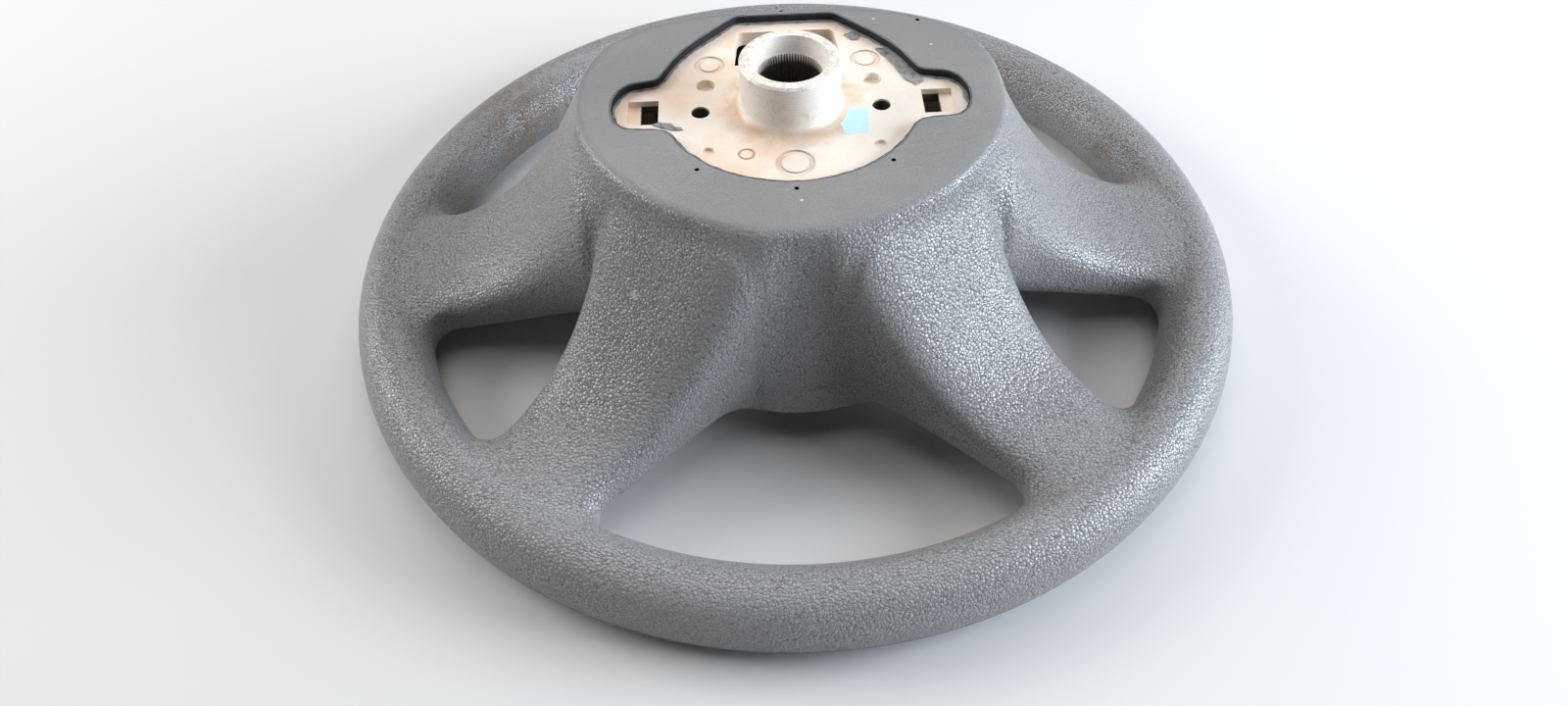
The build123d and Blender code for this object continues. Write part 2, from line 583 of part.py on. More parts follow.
def lock_wire(side):
    """A sprung wire through two lugs of the casting, with a bent tail at its upper end."""
    low, high = LOCK_WIRE_Y
    path = FilletPolyline(
        (LOCK_WIRE_X, low, LOCK_WIRE_HEIGHT),
        (LOCK_WIRE_X, high, LOCK_WIRE_HEIGHT),
        (LOCK_WIRE_X - LOCK_WIRE_TAIL, high, LOCK_WIRE_HEIGHT),
        radius=2 * LOCK_WIRE_RADIUS,
    )
    wire = sweep(Plane(path @ 0, z_dir=path % 0) * Circle(LOCK_WIRE_RADIUS), path=path)
    return wire if side == RIGHT else mirror(wire, Plane.YZ)


def lock_hook(side):
    """A hook on the tray whose nose rests over the lock wire."""
    inner = LOCK_WIRE_X + LOCK_WIRE_RADIUS + LOCK_GAP
    outer = inner + HOOK_STEM_WIDTH
    nose_bottom = LOCK_WIRE_HEIGHT + LOCK_WIRE_RADIUS + LOCK_GAP
    nose_top = nose_bottom + HOOK_NOSE_HEIGHT
    y_range = (HOOK_Y - HOOK_THICKNESS / 2, HOOK_Y + HOOK_THICKNESS / 2)
    foot_y = (HOOK_Y - HOOK_FOOT_LENGTH / 2, HOOK_Y + HOOK_FOOT_LENGTH / 2)
    hook = block((inner, outer), y_range, (TRAY_TOP, nose_top))
    hook += block((inner - HOOK_NOSE_REACH, inner), y_range, (nose_bottom, nose_top))
    hook += block((inner, outer), foot_y, (TRAY_TOP, TRAY_TOP + HOOK_FOOT_THICKNESS))
    return hook if side == RIGHT else mirror(hook, Plane.YZ)


def contact_ranges(side):
    """Limits across and down of the fixed horn contact on one side."""
    x, y = side * CONTACT_PLACE[0], CONTACT_PLACE[1]
    half_width, half_depth = CONTACT_BLOCK_WIDTH / 2, CONTACT_BLOCK_DEPTH / 2
    return (x - half_width, x + half_width), (y - half_depth, y + half_depth)


def contact_block(side):
    """The insulating block of a fixed horn contact, under the plate."""
    return block(*contact_ranges(side), (CONTACT_BLOCK_BOTTOM, PLATE_BOTTOM))


def contact_strip(side):
    """The brass strip of a fixed horn contact, under its block."""
    bottom = CONTACT_BLOCK_BOTTOM - CONTACT_STRIP_THICKNESS
    return block(*contact_ranges(side), (bottom, CONTACT_BLOCK_BOTTOM))


def contact_pin(side):
    """The moving horn contact, which meets its strip when the pad is pressed."""
    x, y = side * CONTACT_PLACE[0], CONTACT_PLACE[1]
    tip = CONTACT_BLOCK_BOTTOM - CONTACT_STRIP_THICKNESS - HORN_TRAVEL - CONTACT_SPARE_GAP
    foot = disc(CONTACT_PIN_FOOT_RADIUS, TRAY_TOP, TRAY_TOP + CONTACT_PIN_FOOT_HEIGHT, x, y)
    return foot + disc(CONTACT_PIN_RADIUS, TRAY_TOP, tip, x, y)


def parts():
    """Every piece of the wheel by its node's name."""
    casting = armature()
    pieces = {
        "armature": casting,
        "hub_boss": hub_boss(),
        "foam_cover": foam_cover(casting),
        "pad_cover": pad_cover(),
        "module_tray": module_tray(),
        "cover_rivets": cover_rivets(),
        "folded_cushion": folded_cushion(),
        "cushion_retainer": cushion_retainer(),
        "retainer_nuts": retainer_nuts(),
        "gas_generator": gas_generator(),
    }
    for place, (x, y) in GUIDE_PLACES.items():
        pieces["guide_bush_" + place] = guide_bush(x, y)
        pieces["guide_pin_" + place] = guide_pin(x, y)
        pieces["horn_spring_" + place] = horn_spring(x, y)
    for name, side in (("left", LEFT), ("right", RIGHT)):
        pieces["lock_wire_" + name] = lock_wire(side)
        pieces["lock_hook_" + name] = lock_hook(side)
        pieces["contact_block_" + name] = contact_block(side)
        pieces["contact_strip_" + name] = contact_strip(side)
        pieces["contact_pin_" + name] = contact_pin(side)
    return pieces


def write():
    """Write one STEP file for each piece."""
    os.makedirs("parts", exist_ok=True)
    for name, shape in parts().items():
        export_step(shape, os.path.join("parts", name + ".step"))


write()
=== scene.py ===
"""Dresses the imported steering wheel: moulded foam, cast hub, horn pad and a plain studio stage."""

import json
import math

import bpy
import numpy as np
from bpy.props import FloatProperty, FloatVectorProperty, IntProperty, PointerProperty
from mathutils import Matrix, Vector


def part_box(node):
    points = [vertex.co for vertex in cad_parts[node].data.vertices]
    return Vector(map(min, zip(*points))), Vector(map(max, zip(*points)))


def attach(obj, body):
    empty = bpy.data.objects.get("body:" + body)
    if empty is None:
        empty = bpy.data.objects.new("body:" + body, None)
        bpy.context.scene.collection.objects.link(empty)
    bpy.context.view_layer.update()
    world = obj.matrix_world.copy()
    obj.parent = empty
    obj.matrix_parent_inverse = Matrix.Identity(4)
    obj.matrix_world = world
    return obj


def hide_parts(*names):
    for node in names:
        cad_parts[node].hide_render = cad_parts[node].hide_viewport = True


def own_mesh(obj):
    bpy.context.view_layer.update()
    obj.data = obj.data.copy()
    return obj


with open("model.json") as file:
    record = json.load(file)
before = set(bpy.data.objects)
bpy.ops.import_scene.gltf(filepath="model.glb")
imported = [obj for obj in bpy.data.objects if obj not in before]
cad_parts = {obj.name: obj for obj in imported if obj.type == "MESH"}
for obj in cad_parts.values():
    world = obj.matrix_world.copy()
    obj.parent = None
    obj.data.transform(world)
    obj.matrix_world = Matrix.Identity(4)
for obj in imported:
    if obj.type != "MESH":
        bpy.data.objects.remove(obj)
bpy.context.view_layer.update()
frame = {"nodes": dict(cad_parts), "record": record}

bl_info = {
    "name": "Steering Wheel Finish",
    "version": (1, 0, 0),
    "blender": (4, 5, 0),
    "location": "3D View > Sidebar > Wheel",
    "description": "Moulds the foam of a steering wheel, finishes its casting and horn pad, and sets a stage",
    "category": "Object",
}

WHEEL, PAD = "wheel", "horn_pad"
FOAM_LOW, FOAM_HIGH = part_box("foam_cover")
BOSS_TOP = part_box("hub_boss")[1].z
MM = 0.001


def length(name, description, default):
    """A length in metres that a user may change."""
    return FloatProperty(
        name=name, description=description, default=default, min=0.0, precision=4, unit="LENGTH"
    )


def colour(name, description, default):
    """A colour that a user may change."""
    return FloatVectorProperty(
        name=name, description=description, default=default, size=3, subtype="COLOR", min=0, max=1
    )


def turn(name, description, degrees):
    """An angle that a user may change, given here in degrees."""
    return FloatProperty(name=name, description=description, default=math.radians(degrees), subtype="ANGLE")


class FoamSizes(bpy.types.PropertyGroup):
    """Sizes of the moulded foam over rim, spokes and hub."""

    rim_diameter: length("Rim diameter", "Outside diameter of the rim", FOAM_HIGH.x - FOAM_LOW.x)
    rim_width: length("Rim width", "Width of the rim's section, across the wheel", 29 * MM)
    rim_height: length("Rim height", "Height of the rim's section, along the axis", 32 * MM)
    face_height: length("Face height", "Height of the hub's flat back face", FOAM_HIGH.z)
    front_height: length("Front height", "Height of the hub wall's front edge", 20 * MM)
    half_width: length("Hub half width", "Reach of the face to left and right", 82.8 * MM)
    top_reach: length("Hub top reach", "Reach of the face towards twelve o'clock", 59.3 * MM)
    bottom_reach: length("Hub bottom reach", "Reach of the face towards six o'clock", 76.6 * MM)
    side_flare: length("Side flare", "How much the hub widens to its front edge", 8 * MM)
    bottom_flare: length("Bottom flare", "How much the hub's panel slants to its front edge", 12.5 * MM)
    wall: length("Hub wall", "Thickness of the hub's side wall", 9 * MM)
    edge_radius: length("Face edge radius", "Rounding of the face's edge", 3.4 * MM)
    front_radius: length("Front edge radius", "Rounding of the hub wall's front edge", 2.5 * MM)
    lower_angle: turn("Lower spoke angle", "How far the lower spokes slant down", 49)
    rim_blend: length("Rim blend", "Softness of the corner between spoke and rim", 13 * MM)
    crease_blend: length("Crease blend", "Softness of the crease between spoke and hub wall", 12 * MM)
    crest_blend: length("Crest blend", "Softness where a spoke's crest leaves the face", 17 * MM)
    valley_blend: length("Valley blend", "Softness of the valley between side and lower spokes", 4 * MM)
    cell: length("Cell", "Spacing of the grid that the skin is drawn on", 2 * MM)


class FinishColours(bpy.types.PropertyGroup):
    """Colours of the wheel's materials."""

    foam: colour("Foam", "Moulded foam skin", (0.205, 0.206, 0.209))
    foam_worn: colour("Worn foam", "Foam where hands have rubbed it", (0.250, 0.251, 0.254))
    # The raised grain is painted lighter for sheen, and its creases painted darker for shade as well as dirt.
    grain: colour("Grain", "Raised part of the foam's grain", (0.330, 0.331, 0.334))
    crease_shade_and_dirt_tone: colour("Grain hollow", "Creases of the foam's grain", (0.140, 0.141, 0.144))
    # Near black: the bare core's own dark colour with painted shade in the opening's wall and pits.
    core_and_shade_tone: colour("Foam core", "Foam in the opening's wall and in pits", (0.012, 0.012, 0.014))
    dust: colour("Dust", "Dry dust in the rim's inner side", (0.17, 0.12, 0.08))
    chip: colour("Chip", "Pale scuffs and chips in the foam's skin", (0.62, 0.61, 0.58))
    alloy: colour("Cast alloy", "Cast plate", (0.87, 0.645, 0.49))
    alloy_pale: colour("Pale alloy", "Bare or oxidised casting", (0.90, 0.83, 0.74))
    alloy_stain: colour("Alloy stain", "Release agent burnt on the casting", (0.58, 0.36, 0.20))
    collar: colour("Machined collar", "Turned faces of the collar", (0.90, 0.88, 0.83))
    collar_worn: colour("Worn collar", "Dark wear and pits on the collar", (0.34, 0.31, 0.27))
    # Painted dark for shade as well as grease, deep in the splined bore and in the plate's holes.
    bore: colour("Bore", "Greasy steel in the splined bore", (0.10, 0.088, 0.075))
    paint: colour("Paint dab", "Inspector's dab of paint", (0.53, 0.80, 0.88))
    pad: colour("Pad", "Horn pad's skin", (0.115, 0.117, 0.122))
    zinc: colour("Zinc", "Yellow passivated steel", (0.55, 0.48, 0.30))
    steel: colour("Steel", "Plated steel", (0.62, 0.62, 0.62))
    spring: colour("Spring wire", "Oiled spring wire", (0.20, 0.20, 0.21))
    brass: colour("Brass", "Horn contacts", (0.75, 0.55, 0.24))
    acetal: colour("Acetal", "Natural guide plastic", (0.78, 0.76, 0.70))
    cloth: colour("Cushion cloth", "Uncoated woven cloth", (0.70, 0.68, 0.64))


class StageSettings(bpy.types.PropertyGroup):
    """Camera, floor, even light, and the seed of the torn edges."""

    floor: colour("Floor", "Plain pale floor", (0.72, 0.72, 0.72))
    place: FloatVectorProperty(
        name="Camera place",
        description="Where the camera stands",
        default=(-16.1 * MM, -382.2 * MM, 390.6 * MM),
        size=3,
        subtype="TRANSLATION",
        unit="LENGTH",
    )
    azimuth: turn("Azimuth", "Direction of the camera round the axis", -1.65)
    elevation: turn("Elevation", "Angle of the camera's line above the floor", 48.69)
    roll: turn("Roll", "Turn of the camera about its own line", -1.53)
    lens: FloatProperty(
        name="Focal length", description="Focal length in mm on a 36 mm frame", default=28.10, min=1.0
    )
    sky: FloatProperty(
        name="Sky", description="Strength of the even light from all round", default=0.04, min=0.0
    )
    seed: IntProperty(name="Seed", description="Seed of the torn foam's outline", default=11, min=0)


# Each pair is for a spoke's side towards twelve o'clock and its side towards six o'clock.
SIDE_HALF_WIDTHS = (23.5 * MM, 32 * MM)
SIDE_FLARES = (20 * MM, 16 * MM)
SIDE_FLARE_POWERS = (1.25, 3.5)
LOWER_HALF_WIDTHS = (24 * MM, 23.5 * MM)
LOWER_FLARES = (5 * MM, 19 * MM)
LOWER_FLARE_POWERS = (3.5, 1.8)
RIM_FLARE = 3 * MM
RIM_FLARE_POWER = 8
HUB_RISE = 74 * MM
HUB_RISE_POWER = 3.1
CREST_EASING = 0.08
SPOKE_SINK_IN_RIM = 1 * MM
SPOKE_SINK_IN_HUB = 1 * MM
SPOKE_ROOT = 30 * MM
SPOKE_FRONT_AT_HUB = 18 * MM
SPOKE_FRONT_AT_RIM = 8 * MM
# The same two sides, each with its section's bluntness at the hub and at the rim.
SIDE_BLUNTNESSES = ((4.5, 3.6), (2.2, 3.6))
LOWER_BLUNTNESSES = ((4.5, 2.6), (4.5, 2.6))
BLUNTNESS_POWER = 1.5
HUB_TOP_BLUNTNESS = 2.7
HUB_BOTTOM_BLUNTNESS = 1.87
CREST_BLEND_HEIGHTS = (60 * MM, 90 * MM)
HUB_POINTS = 160
# How fast a spoke's distance grows behind its root and outside the rim.
FADE_OUT = 8
SLOPE_STEP = 0.05 * MM
LEAST_SLOPE = 0.3
STRAY_PART = 20
SHARP_EDGE = math.radians(40)
TINY = 1e-9


def in_mm(points):
    """Points given in millimetres, as metres."""
    return [tuple(part * MM for part in point) for point in points]


def smooth_step(value, low, high):
    """A share that goes smoothly from 0 at the low value to 1 at the high one."""
    share = np.clip((value - low) / (high - low), 0, 1)
    return share * share * (3 - 2 * share)


def with_slope(gap, points):
    """A form's distance and unit slope at points, the slope found by small steps."""
    value = gap(*points.T)
    changes = [gap(*(points + SLOPE_STEP * axis).T) - value for axis in np.eye(3)]
    slope = np.stack(changes, axis=1) / SLOPE_STEP
    size = np.maximum(np.linalg.norm(slope, axis=1), LEAST_SLOPE)
    return value / size, slope / size[:, None]


def soft_union(first, second, reach):
    """Two sloped forms joined by a fillet, which fades out where the two surfaces run the same way."""
    (one, one_slope), (two, two_slope) = first, second
    reach = np.maximum(reach * (1 - np.clip((one_slope * two_slope).sum(axis=1), 0, 1)), TINY)
    share = np.clip(0.5 + 0.5 * (two - one) / reach, 0, 1)
    value = two + (one - two) * share - reach * share * (1 - share)
    slope = two_slope + (one_slope - two_slope) * share[:, None]
    return value, slope / np.maximum(np.linalg.norm(slope, axis=1), TINY)[:, None]


def rounded_cut(first, second, radius):
    """What two sloped forms share, with the edge between them rounded."""
    (one, one_slope), (two, two_slope) = first, second
    over_one, over_two = np.maximum(one + radius, 0), np.maximum(two + radius, 0)
    over = np.hypot(over_one, over_two)
    value = np.minimum(np.maximum(one, two), -radius) + over
    slope = one_slope * over_one[:, None] + two_slope * over_two[:, None]
    nearer = np.where((one > two)[:, None], one_slope, two_slope)
    return value, np.where((over > 0)[:, None], slope / np.maximum(over, TINY)[:, None], nearer)


def oval_gap(across, up, half_width, reach_up, reach_down, blunt_up, blunt_down):
    """Distance from an oval along the line to its middle, negative inside."""
    reach = np.where(up >= 0, reach_up, reach_down)
    blunt = np.where(up >= 0, blunt_up, blunt_down)
    share = (np.abs(across) / half_width) ** blunt + (np.abs(up) / reach) ** blunt
    share = np.maximum(share, TINY) ** (1 / blunt)
    radius = np.hypot(across, up) + TINY
    return radius - radius / share


class FoamForm:
    """The foam's outer form as a field of distances, negative inside."""

    def __init__(self, sizes):
        self.sizes = sizes
        self.rim_radius = (sizes.rim_diameter - sizes.rim_width) / 2
        lower = sizes.lower_angle
        side_form = (SIDE_HALF_WIDTHS, SIDE_FLARES, SIDE_FLARE_POWERS, SIDE_BLUNTNESSES)
        lower_form = (LOWER_HALF_WIDTHS, LOWER_FLARES, LOWER_FLARE_POWERS, LOWER_BLUNTNESSES)
        self.side_spokes = [(angle, *side_form) for angle in (0.0, math.pi)]
        self.lower_spokes = [(angle, *lower_form) for angle in (-lower, lower - math.pi)]

    def hub_reaches(self, height, inset=0.0):
        """Half width and reaches up and down of the hub at a height, moved in by an inset."""
        sizes = self.sizes
        share = (sizes.face_height - height) / (sizes.face_height - sizes.front_height)
        side = sizes.side_flare * share - inset
        bottom = sizes.bottom_flare * share - inset
        return sizes.half_width + side, sizes.top_reach + side, sizes.bottom_reach + bottom

    def hub_outline(self, height, inset):
        """Points round the hub's outline at a height, moved in by an inset."""
        half_width, top, bottom = self.hub_reaches(height, inset)
        angle = np.linspace(0, 2 * math.pi, HUB_POINTS, endpoint=False)
        across, up = np.cos(angle), np.sin(angle)
        power = np.where(up >= 0, 2 / HUB_TOP_BLUNTNESS, 2 / HUB_BOTTOM_BLUNTNESS)
        x = np.sign(across) * half_width * np.abs(across) ** power
        y = np.sign(up) * np.where(up >= 0, top, bottom) * np.abs(up) ** power
        return np.stack([x, y, np.broadcast_to(height, x.shape)], axis=1)

    def hub_wall(self, x, y, z):
        """The hub's drafted side wall."""
        return oval_gap(x, y, *self.hub_reaches(z), HUB_TOP_BLUNTNESS, HUB_BOTTOM_BLUNTNESS)

    def hub_reach(self, angle):
        """Reach of the face's edge in a direction on its lower half."""
        share = (abs(math.cos(angle)) / self.sizes.half_width) ** HUB_BOTTOM_BLUNTNESS
        share += (abs(math.sin(angle)) / self.sizes.bottom_reach) ** HUB_BOTTOM_BLUNTNESS
        return share ** (-1 / HUB_BOTTOM_BLUNTNESS)

    def spoke(self, x, y, z, angle, half_widths, flares, powers, bluntnesses):
        """One spoke, going on without end both ways along its line."""
        along_x, along_y = math.cos(angle), math.sin(angle)
        reach = x * along_x + y * along_y
        across = math.copysign(1, along_x) * (y * along_x - x * along_y)
        start = self.hub_reach(angle) - SPOKE_SINK_IN_HUB
        step = np.minimum((reach - start) / (self.rim_radius - start), 1)
        eased = (step + np.hypot(step, CREST_EASING)) / 2
        step = np.maximum(step, 0)
        inner = smooth_step(reach, start - SPOKE_ROOT, start)
        rim_flare = RIM_FLARE * step**RIM_FLARE_POWER
        above, below = (
            half + inner * flare * (1 - step) ** power + rim_flare
            for half, flare, power in zip(half_widths, flares, powers)
        )
        rise = HUB_RISE * np.maximum(1 - eased, 0) ** HUB_RISE_POWER
        crest = self.sizes.rim_height - SPOKE_SINK_IN_RIM + rise
        front = SPOKE_FRONT_AT_HUB + (SPOKE_FRONT_AT_RIM - SPOKE_FRONT_AT_HUB) * step
        half_height = (crest - front) / 2
        across, up = across - (above - below) / 2, z - front - half_height
        blunt_above, blunt_below = (
            at_rim + (at_hub - at_rim) * (1 - step) ** BLUNTNESS_POWER
            for at_hub, at_rim in bluntnesses
        )
        blunt = np.where(across >= 0, blunt_above, blunt_below)
        return oval_gap(across, up, (above + below) / 2, half_height, half_height, blunt, blunt)

    def behind(self, points, angle):
        """How far points lie behind a spoke's root."""
        reach = points[:, 0] * math.cos(angle) + points[:, 1] * math.sin(angle)
        return np.maximum(self.hub_reach(angle) - SPOKE_SINK_IN_HUB - SPOKE_ROOT - reach, 0)

    def rim(self, x, y, z):
        """The rim, a ring of oval section."""
        half_height = self.sizes.rim_height / 2
        out = np.hypot(x, y) - self.rim_radius
        return oval_gap(out, z - half_height, self.sizes.rim_width / 2, half_height, half_height, 2, 2)

    def outside(self, points):
        """How far points lie outside the middle of the rim."""
        return np.maximum(np.hypot(points[:, 0], points[:, 1]) - self.rim_radius, 0)

    def rough(self, points):
        """The plain join of all parts, with no blends: enough to tell where the skin is near."""
        place, outside = points.T, self.outside(points)
        over, under = place[2] - self.sizes.face_height, self.sizes.front_height - place[2]
        parts = [np.maximum.reduce([self.hub_wall(*place), over, under]), self.rim(*place)]
        for spoke in self.side_spokes + self.lower_spokes:
            gap = self.spoke(*place, *spoke) + FADE_OUT * (self.behind(points, spoke[0]) + outside)
            parts.append(np.maximum(gap, over))
        return np.minimum.reduce(parts)

    def skin(self, points):
        """Distance and slope of the whole: hub and spokes blended, cut at the face, joined to the rim."""
        sizes, height = self.sizes, points[:, 2]
        up = np.broadcast_to((0.0, 0.0, 1.0), points.shape)
        blend = sizes.crease_blend
        blend = blend + (sizes.crest_blend - blend) * smooth_step(height, *CREST_BLEND_HEIGHTS)
        front = (sizes.front_height - height, -up)
        hub = rounded_cut(with_slope(self.hub_wall, points), front, sizes.front_radius)
        halves = []
        for spokes in (self.side_spokes, self.lower_spokes):
            half = hub
            for spoke in spokes:
                gap, slope = with_slope(lambda x, y, z, spoke=spoke: self.spoke(x, y, z, *spoke), points)
                half = soft_union(half, (gap + FADE_OUT * self.behind(points, spoke[0]), slope), blend)
            halves.append(half)
        body = soft_union(*halves, sizes.valley_blend)
        gap, slope = rounded_cut(body, (height - sizes.face_height, up), sizes.edge_radius)
        gap = gap + FADE_OUT * self.outside(points)
        return soft_union((gap, slope), with_slope(self.rim, points), sizes.rim_blend)


def skin_values(form, axes, band):
    """Distances on a grid: exact in a band round the skin, rough elsewhere."""
    grid = np.stack(np.meshgrid(*axes, indexing="ij"), axis=-1)
    values = form.rough(grid.reshape(-1, 3))
    near = np.abs(values) < band
    values[near] = form.skin(grid.reshape(-1, 3)[near])[0]
    return values.reshape(grid.shape[:3])


def skin_mesh(form, low, high, cell, band):
    """Points and quads of a form's skin: one point in each grid cell that the skin crosses."""
    axes = [np.arange(start, stop + cell, cell) for start, stop in zip(low, high)]
    values = skin_values(form, axes, band)
    inside = values < 0
    cells = tuple(count - 1 for count in values.shape)
    total = np.zeros(cells + (3,))
    crossings = np.zeros(cells)
    edges = []
    for axis in range(3):
        first = tuple(slice(0, -1) if i == axis else slice(None) for i in range(3))
        second = tuple(slice(1, None) if i == axis else slice(None) for i in range(3))
        crossed = inside[first] != inside[second]
        change = values[first] - values[second]
        share = np.where(crossed, values[first] / np.where(change == 0, 1, change), 0)
        edges.append(crossed)
        others = [i for i in range(3) if i != axis]
        for corner in ((0, 0), (1, 0), (0, 1), (1, 1)):
            cut = [slice(None)] * 3
            for other, step in zip(others, corner):
                cut[other] = slice(step, step + cells[other])
            hit = crossed[tuple(cut)]
            crossings += hit
            total[..., axis] += share[tuple(cut)]
            for other, step in zip(others, corner):
                total[..., other] += step * hit
    used = crossings > 0
    number = np.full(cells, -1)
    number[used] = np.arange(used.sum())
    corner = np.stack(np.nonzero(used), axis=1)
    points = np.array(low) + (corner + total[used] / crossings[used][:, None]) * cell
    quads = np.concatenate([skin_quads(edges[axis], axis, inside, number) for axis in range(3)])
    return smooth_strays(form, settle(form, points, cell), quads, cell), quads


def skin_quads(crossed, axis, inside, number):
    """One quad round each grid line along an axis that the skin crosses, facing outwards."""
    place = np.stack(np.nonzero(crossed), axis=1)
    one, two = (axis + 1) % 3, (axis + 2) % 3
    place = place[(place[:, one] > 0) & (place[:, two] > 0)]
    ring = []
    for step_one, step_two in ((1, 1), (0, 1), (0, 0), (1, 0)):
        at = place.copy()
        at[:, one] -= step_one
        at[:, two] -= step_two
        ring.append(number[tuple(at.T)])
    ring = np.stack(ring, axis=1)
    outward = inside[tuple(place.T)]
    return np.where(outward[:, None], ring, ring[:, ::-1])


def settle(form, points, cell, rounds=4):
    """Moves points onto a form's skin along its slope."""
    for _ in range(rounds):
        value, slope = form.skin(points)
        points = points - np.clip(value, -cell / 2, cell / 2)[:, None] * slope
    return points


def smooth_strays(form, points, quads, cell):
    """Moves the few points that found no place on the skin to the middle of their neighbours."""
    stray = np.abs(form.skin(points)[0]) > cell / STRAY_PART
    total, count = np.zeros_like(points), np.zeros(len(points))
    for step in (1, 3):
        neighbour = np.roll(quads, step, axis=1)
        np.add.at(total, quads, points[neighbour])
        np.add.at(count, quads, 1)
    points[stray] = (total / count[:, None])[stray]
    return points


def new_object(name, points, faces, *materials, smooth=True):
    """A mesh object from points and faces, with its materials, linked to the scene."""
    mesh = bpy.data.meshes.new(name)
    mesh.from_pydata([tuple(p) for p in points], [], [tuple(int(i) for i in f) for f in faces])
    mesh.validate()
    for material in materials:
        mesh.materials.append(material)
    mesh.polygons.foreach_set("use_smooth", [smooth] * len(mesh.polygons))
    item = bpy.data.objects.new(name, mesh)
    bpy.context.scene.collection.objects.link(item)
    return item


def ring_faces(rings, count, closed=True):
    """Quads between neighbouring rings of points."""
    faces = []
    for r in range(rings - 1 + closed):
        here, there = r * count, ((r + 1) % rings) * count
        for i in range(count):
            j = (i + 1) % count
            faces.append((here + i, here + j, there + j, there + i))
    return faces


def ring_solid(rings):
    """Points and faces of a solid from rings in order, closed at both ends."""
    count = len(rings[0])
    faces = ring_faces(len(rings), count, closed=False)
    last = (len(rings) - 1) * count
    faces += [tuple(range(count - 1, -1, -1)), tuple(range(last, last + count))]
    return np.concatenate(rings), faces


def at_height(outline, height):
    """An outline's points lifted to a height."""
    return np.column_stack([outline, np.full(len(outline), height)])


def joined(parts):
    """Points and faces of several meshes as one."""
    points, faces = [], []
    for part_points, part_faces in parts:
        base = len(points)
        points += [tuple(point) for point in part_points]
        faces += [[base + int(i) for i in face] for face in part_faces]
    return points, faces


def prism(outlines):
    """Points and faces of closed upright prisms, each given as (outline, low, high)."""
    ends = [[at_height(outline, low), at_height(outline, high)] for outline, low, high in outlines]
    return joined([ring_solid(pair) for pair in ends])


def cut_away(item, cutter):
    """Cuts a closed mesh out of an item, keeps the cutter's material on the cut and marks its sharp edges."""
    boolean = item.modifiers.new("cut", "BOOLEAN")
    boolean.object = cutter
    boolean.operation = "DIFFERENCE"
    boolean.solver = "EXACT"
    boolean.material_mode = "TRANSFER"
    bpy.context.view_layer.update()
    evaluated = item.evaluated_get(bpy.context.evaluated_depsgraph_get())
    mesh = bpy.data.meshes.new_from_object(evaluated)
    item.modifiers.clear()
    old = item.data
    item.data = mesh
    mesh.name = item.name
    bpy.data.meshes.remove(old)
    bpy.data.objects.remove(cutter)
    mesh.set_sharp_from_angle(angle=SHARP_EDGE)


class Finish:
    """A material with its node tree, and short ways to add nodes to it."""

    def __init__(self, name, base, roughness, metallic=0.0, **sockets):
        self.material = bpy.data.materials.new(name)
        self.material.use_nodes = True
        self.nodes = self.material.node_tree.nodes
        self.links = self.material.node_tree.links
        self.shader = self.nodes["Principled BSDF"]
        self.feed(self.shader, Base_Color=base, Roughness=roughness, Metallic=metallic, **sockets)

    def feed(self, node, **sockets):
        """Sets or links a node's sockets, each named with _ for a space or by its number after a _."""
        for name, value in sockets.items():
            socket = node.inputs[int(name[1:]) if name[1:].isdigit() else name.replace("_", " ")]
            if isinstance(value, bpy.types.NodeSocket):
                self.links.new(value, socket)
            else:
                socket.default_value = (*value, 1) if socket.type == "RGBA" else value

    def add(self, kind, options=None, **sockets):
        """Adds a node with its options and sockets."""
        node = self.nodes.new("ShaderNode" + kind)
        for name, value in (options or {}).items():
            setattr(node, name, value)
        self.feed(node, **sockets)
        return node

    def place(self):
        """The place on the object, in metres."""
        return self.add("TexCoord").outputs["Object"]

    def noise(self, scale, detail=3.0, roughness=0.55):
        """A cloudy pattern from 0 to 1."""
        node = self.add("TexNoise", Vector=self.place(), Scale=scale, Detail=detail, Roughness=roughness)
        return node.outputs["Fac"]

    def cells(self, scale, feature="F1", vector=None):
        """A pattern of cells, by the distance in each."""
        node = self.add("TexVoronoi", {"feature": feature}, Vector=vector or self.place(), Scale=scale)
        return node.outputs["Distance"]

    def bands(self, axis, scale, **sockets):
        """A pattern of bands across an axis."""
        node = self.add("TexWave", {"bands_direction": axis}, Vector=self.place(), Scale=scale, **sockets)
        return node.outputs["Fac"]

    def spread(self, value, low, high, to_low=0.0, to_high=1.0):
        """Maps a range of values smoothly to another."""
        ends = {"From_Min": low, "From_Max": high, "To_Min": to_low, "To_Max": to_high}
        node = self.add("MapRange", {"interpolation_type": "SMOOTHSTEP"}, Value=value, **ends)
        return node.outputs["Result"]

    def math(self, operation, first, second=0.0):
        """One sum of two values."""
        return self.add("Math", {"operation": operation}, _0=first, _1=second).outputs["Value"]

    def mix(self, share, first, second):
        """A colour between two colours."""
        return self.add("Mix", {"data_type": "RGBA"}, _0=share, _6=first, _7=second).outputs[2]

    def axis(self, name):
        """One coordinate of the place on the object."""
        return self.add("SeparateXYZ", Vector=self.place()).outputs[name]

    def radius(self):
        """Distance from the steering axis."""
        split = self.add("SeparateXYZ", Vector=self.place())
        flat = self.add("CombineXYZ", X=split.outputs["X"], Y=split.outputs["Y"]).outputs["Vector"]
        return self.add("VectorMath", {"operation": "LENGTH"}, _0=flat).outputs["Value"]

    def gap_to(self, centre):
        """Distance from a place."""
        return self.add("VectorMath", {"operation": "DISTANCE"}, _0=self.place(), _1=centre).outputs["Value"]

    def near(self, centre, reach):
        """1 at a place and 0 beyond a reach from it."""
        return self.spread(self.gap_to(centre), reach, 0.0)

    def bump(self, height, depth, strength, **under):
        """Raises the surface by a pattern, over another such normal if one is given."""
        node = self.add("Bump", Height=height, Distance=depth, Strength=strength, **under)
        return node.outputs["Normal"]

    def to_shader(self, **sockets):
        """Links outputs to the shader's sockets and gives the material."""
        self.feed(self.shader, **sockets)
        return self.material


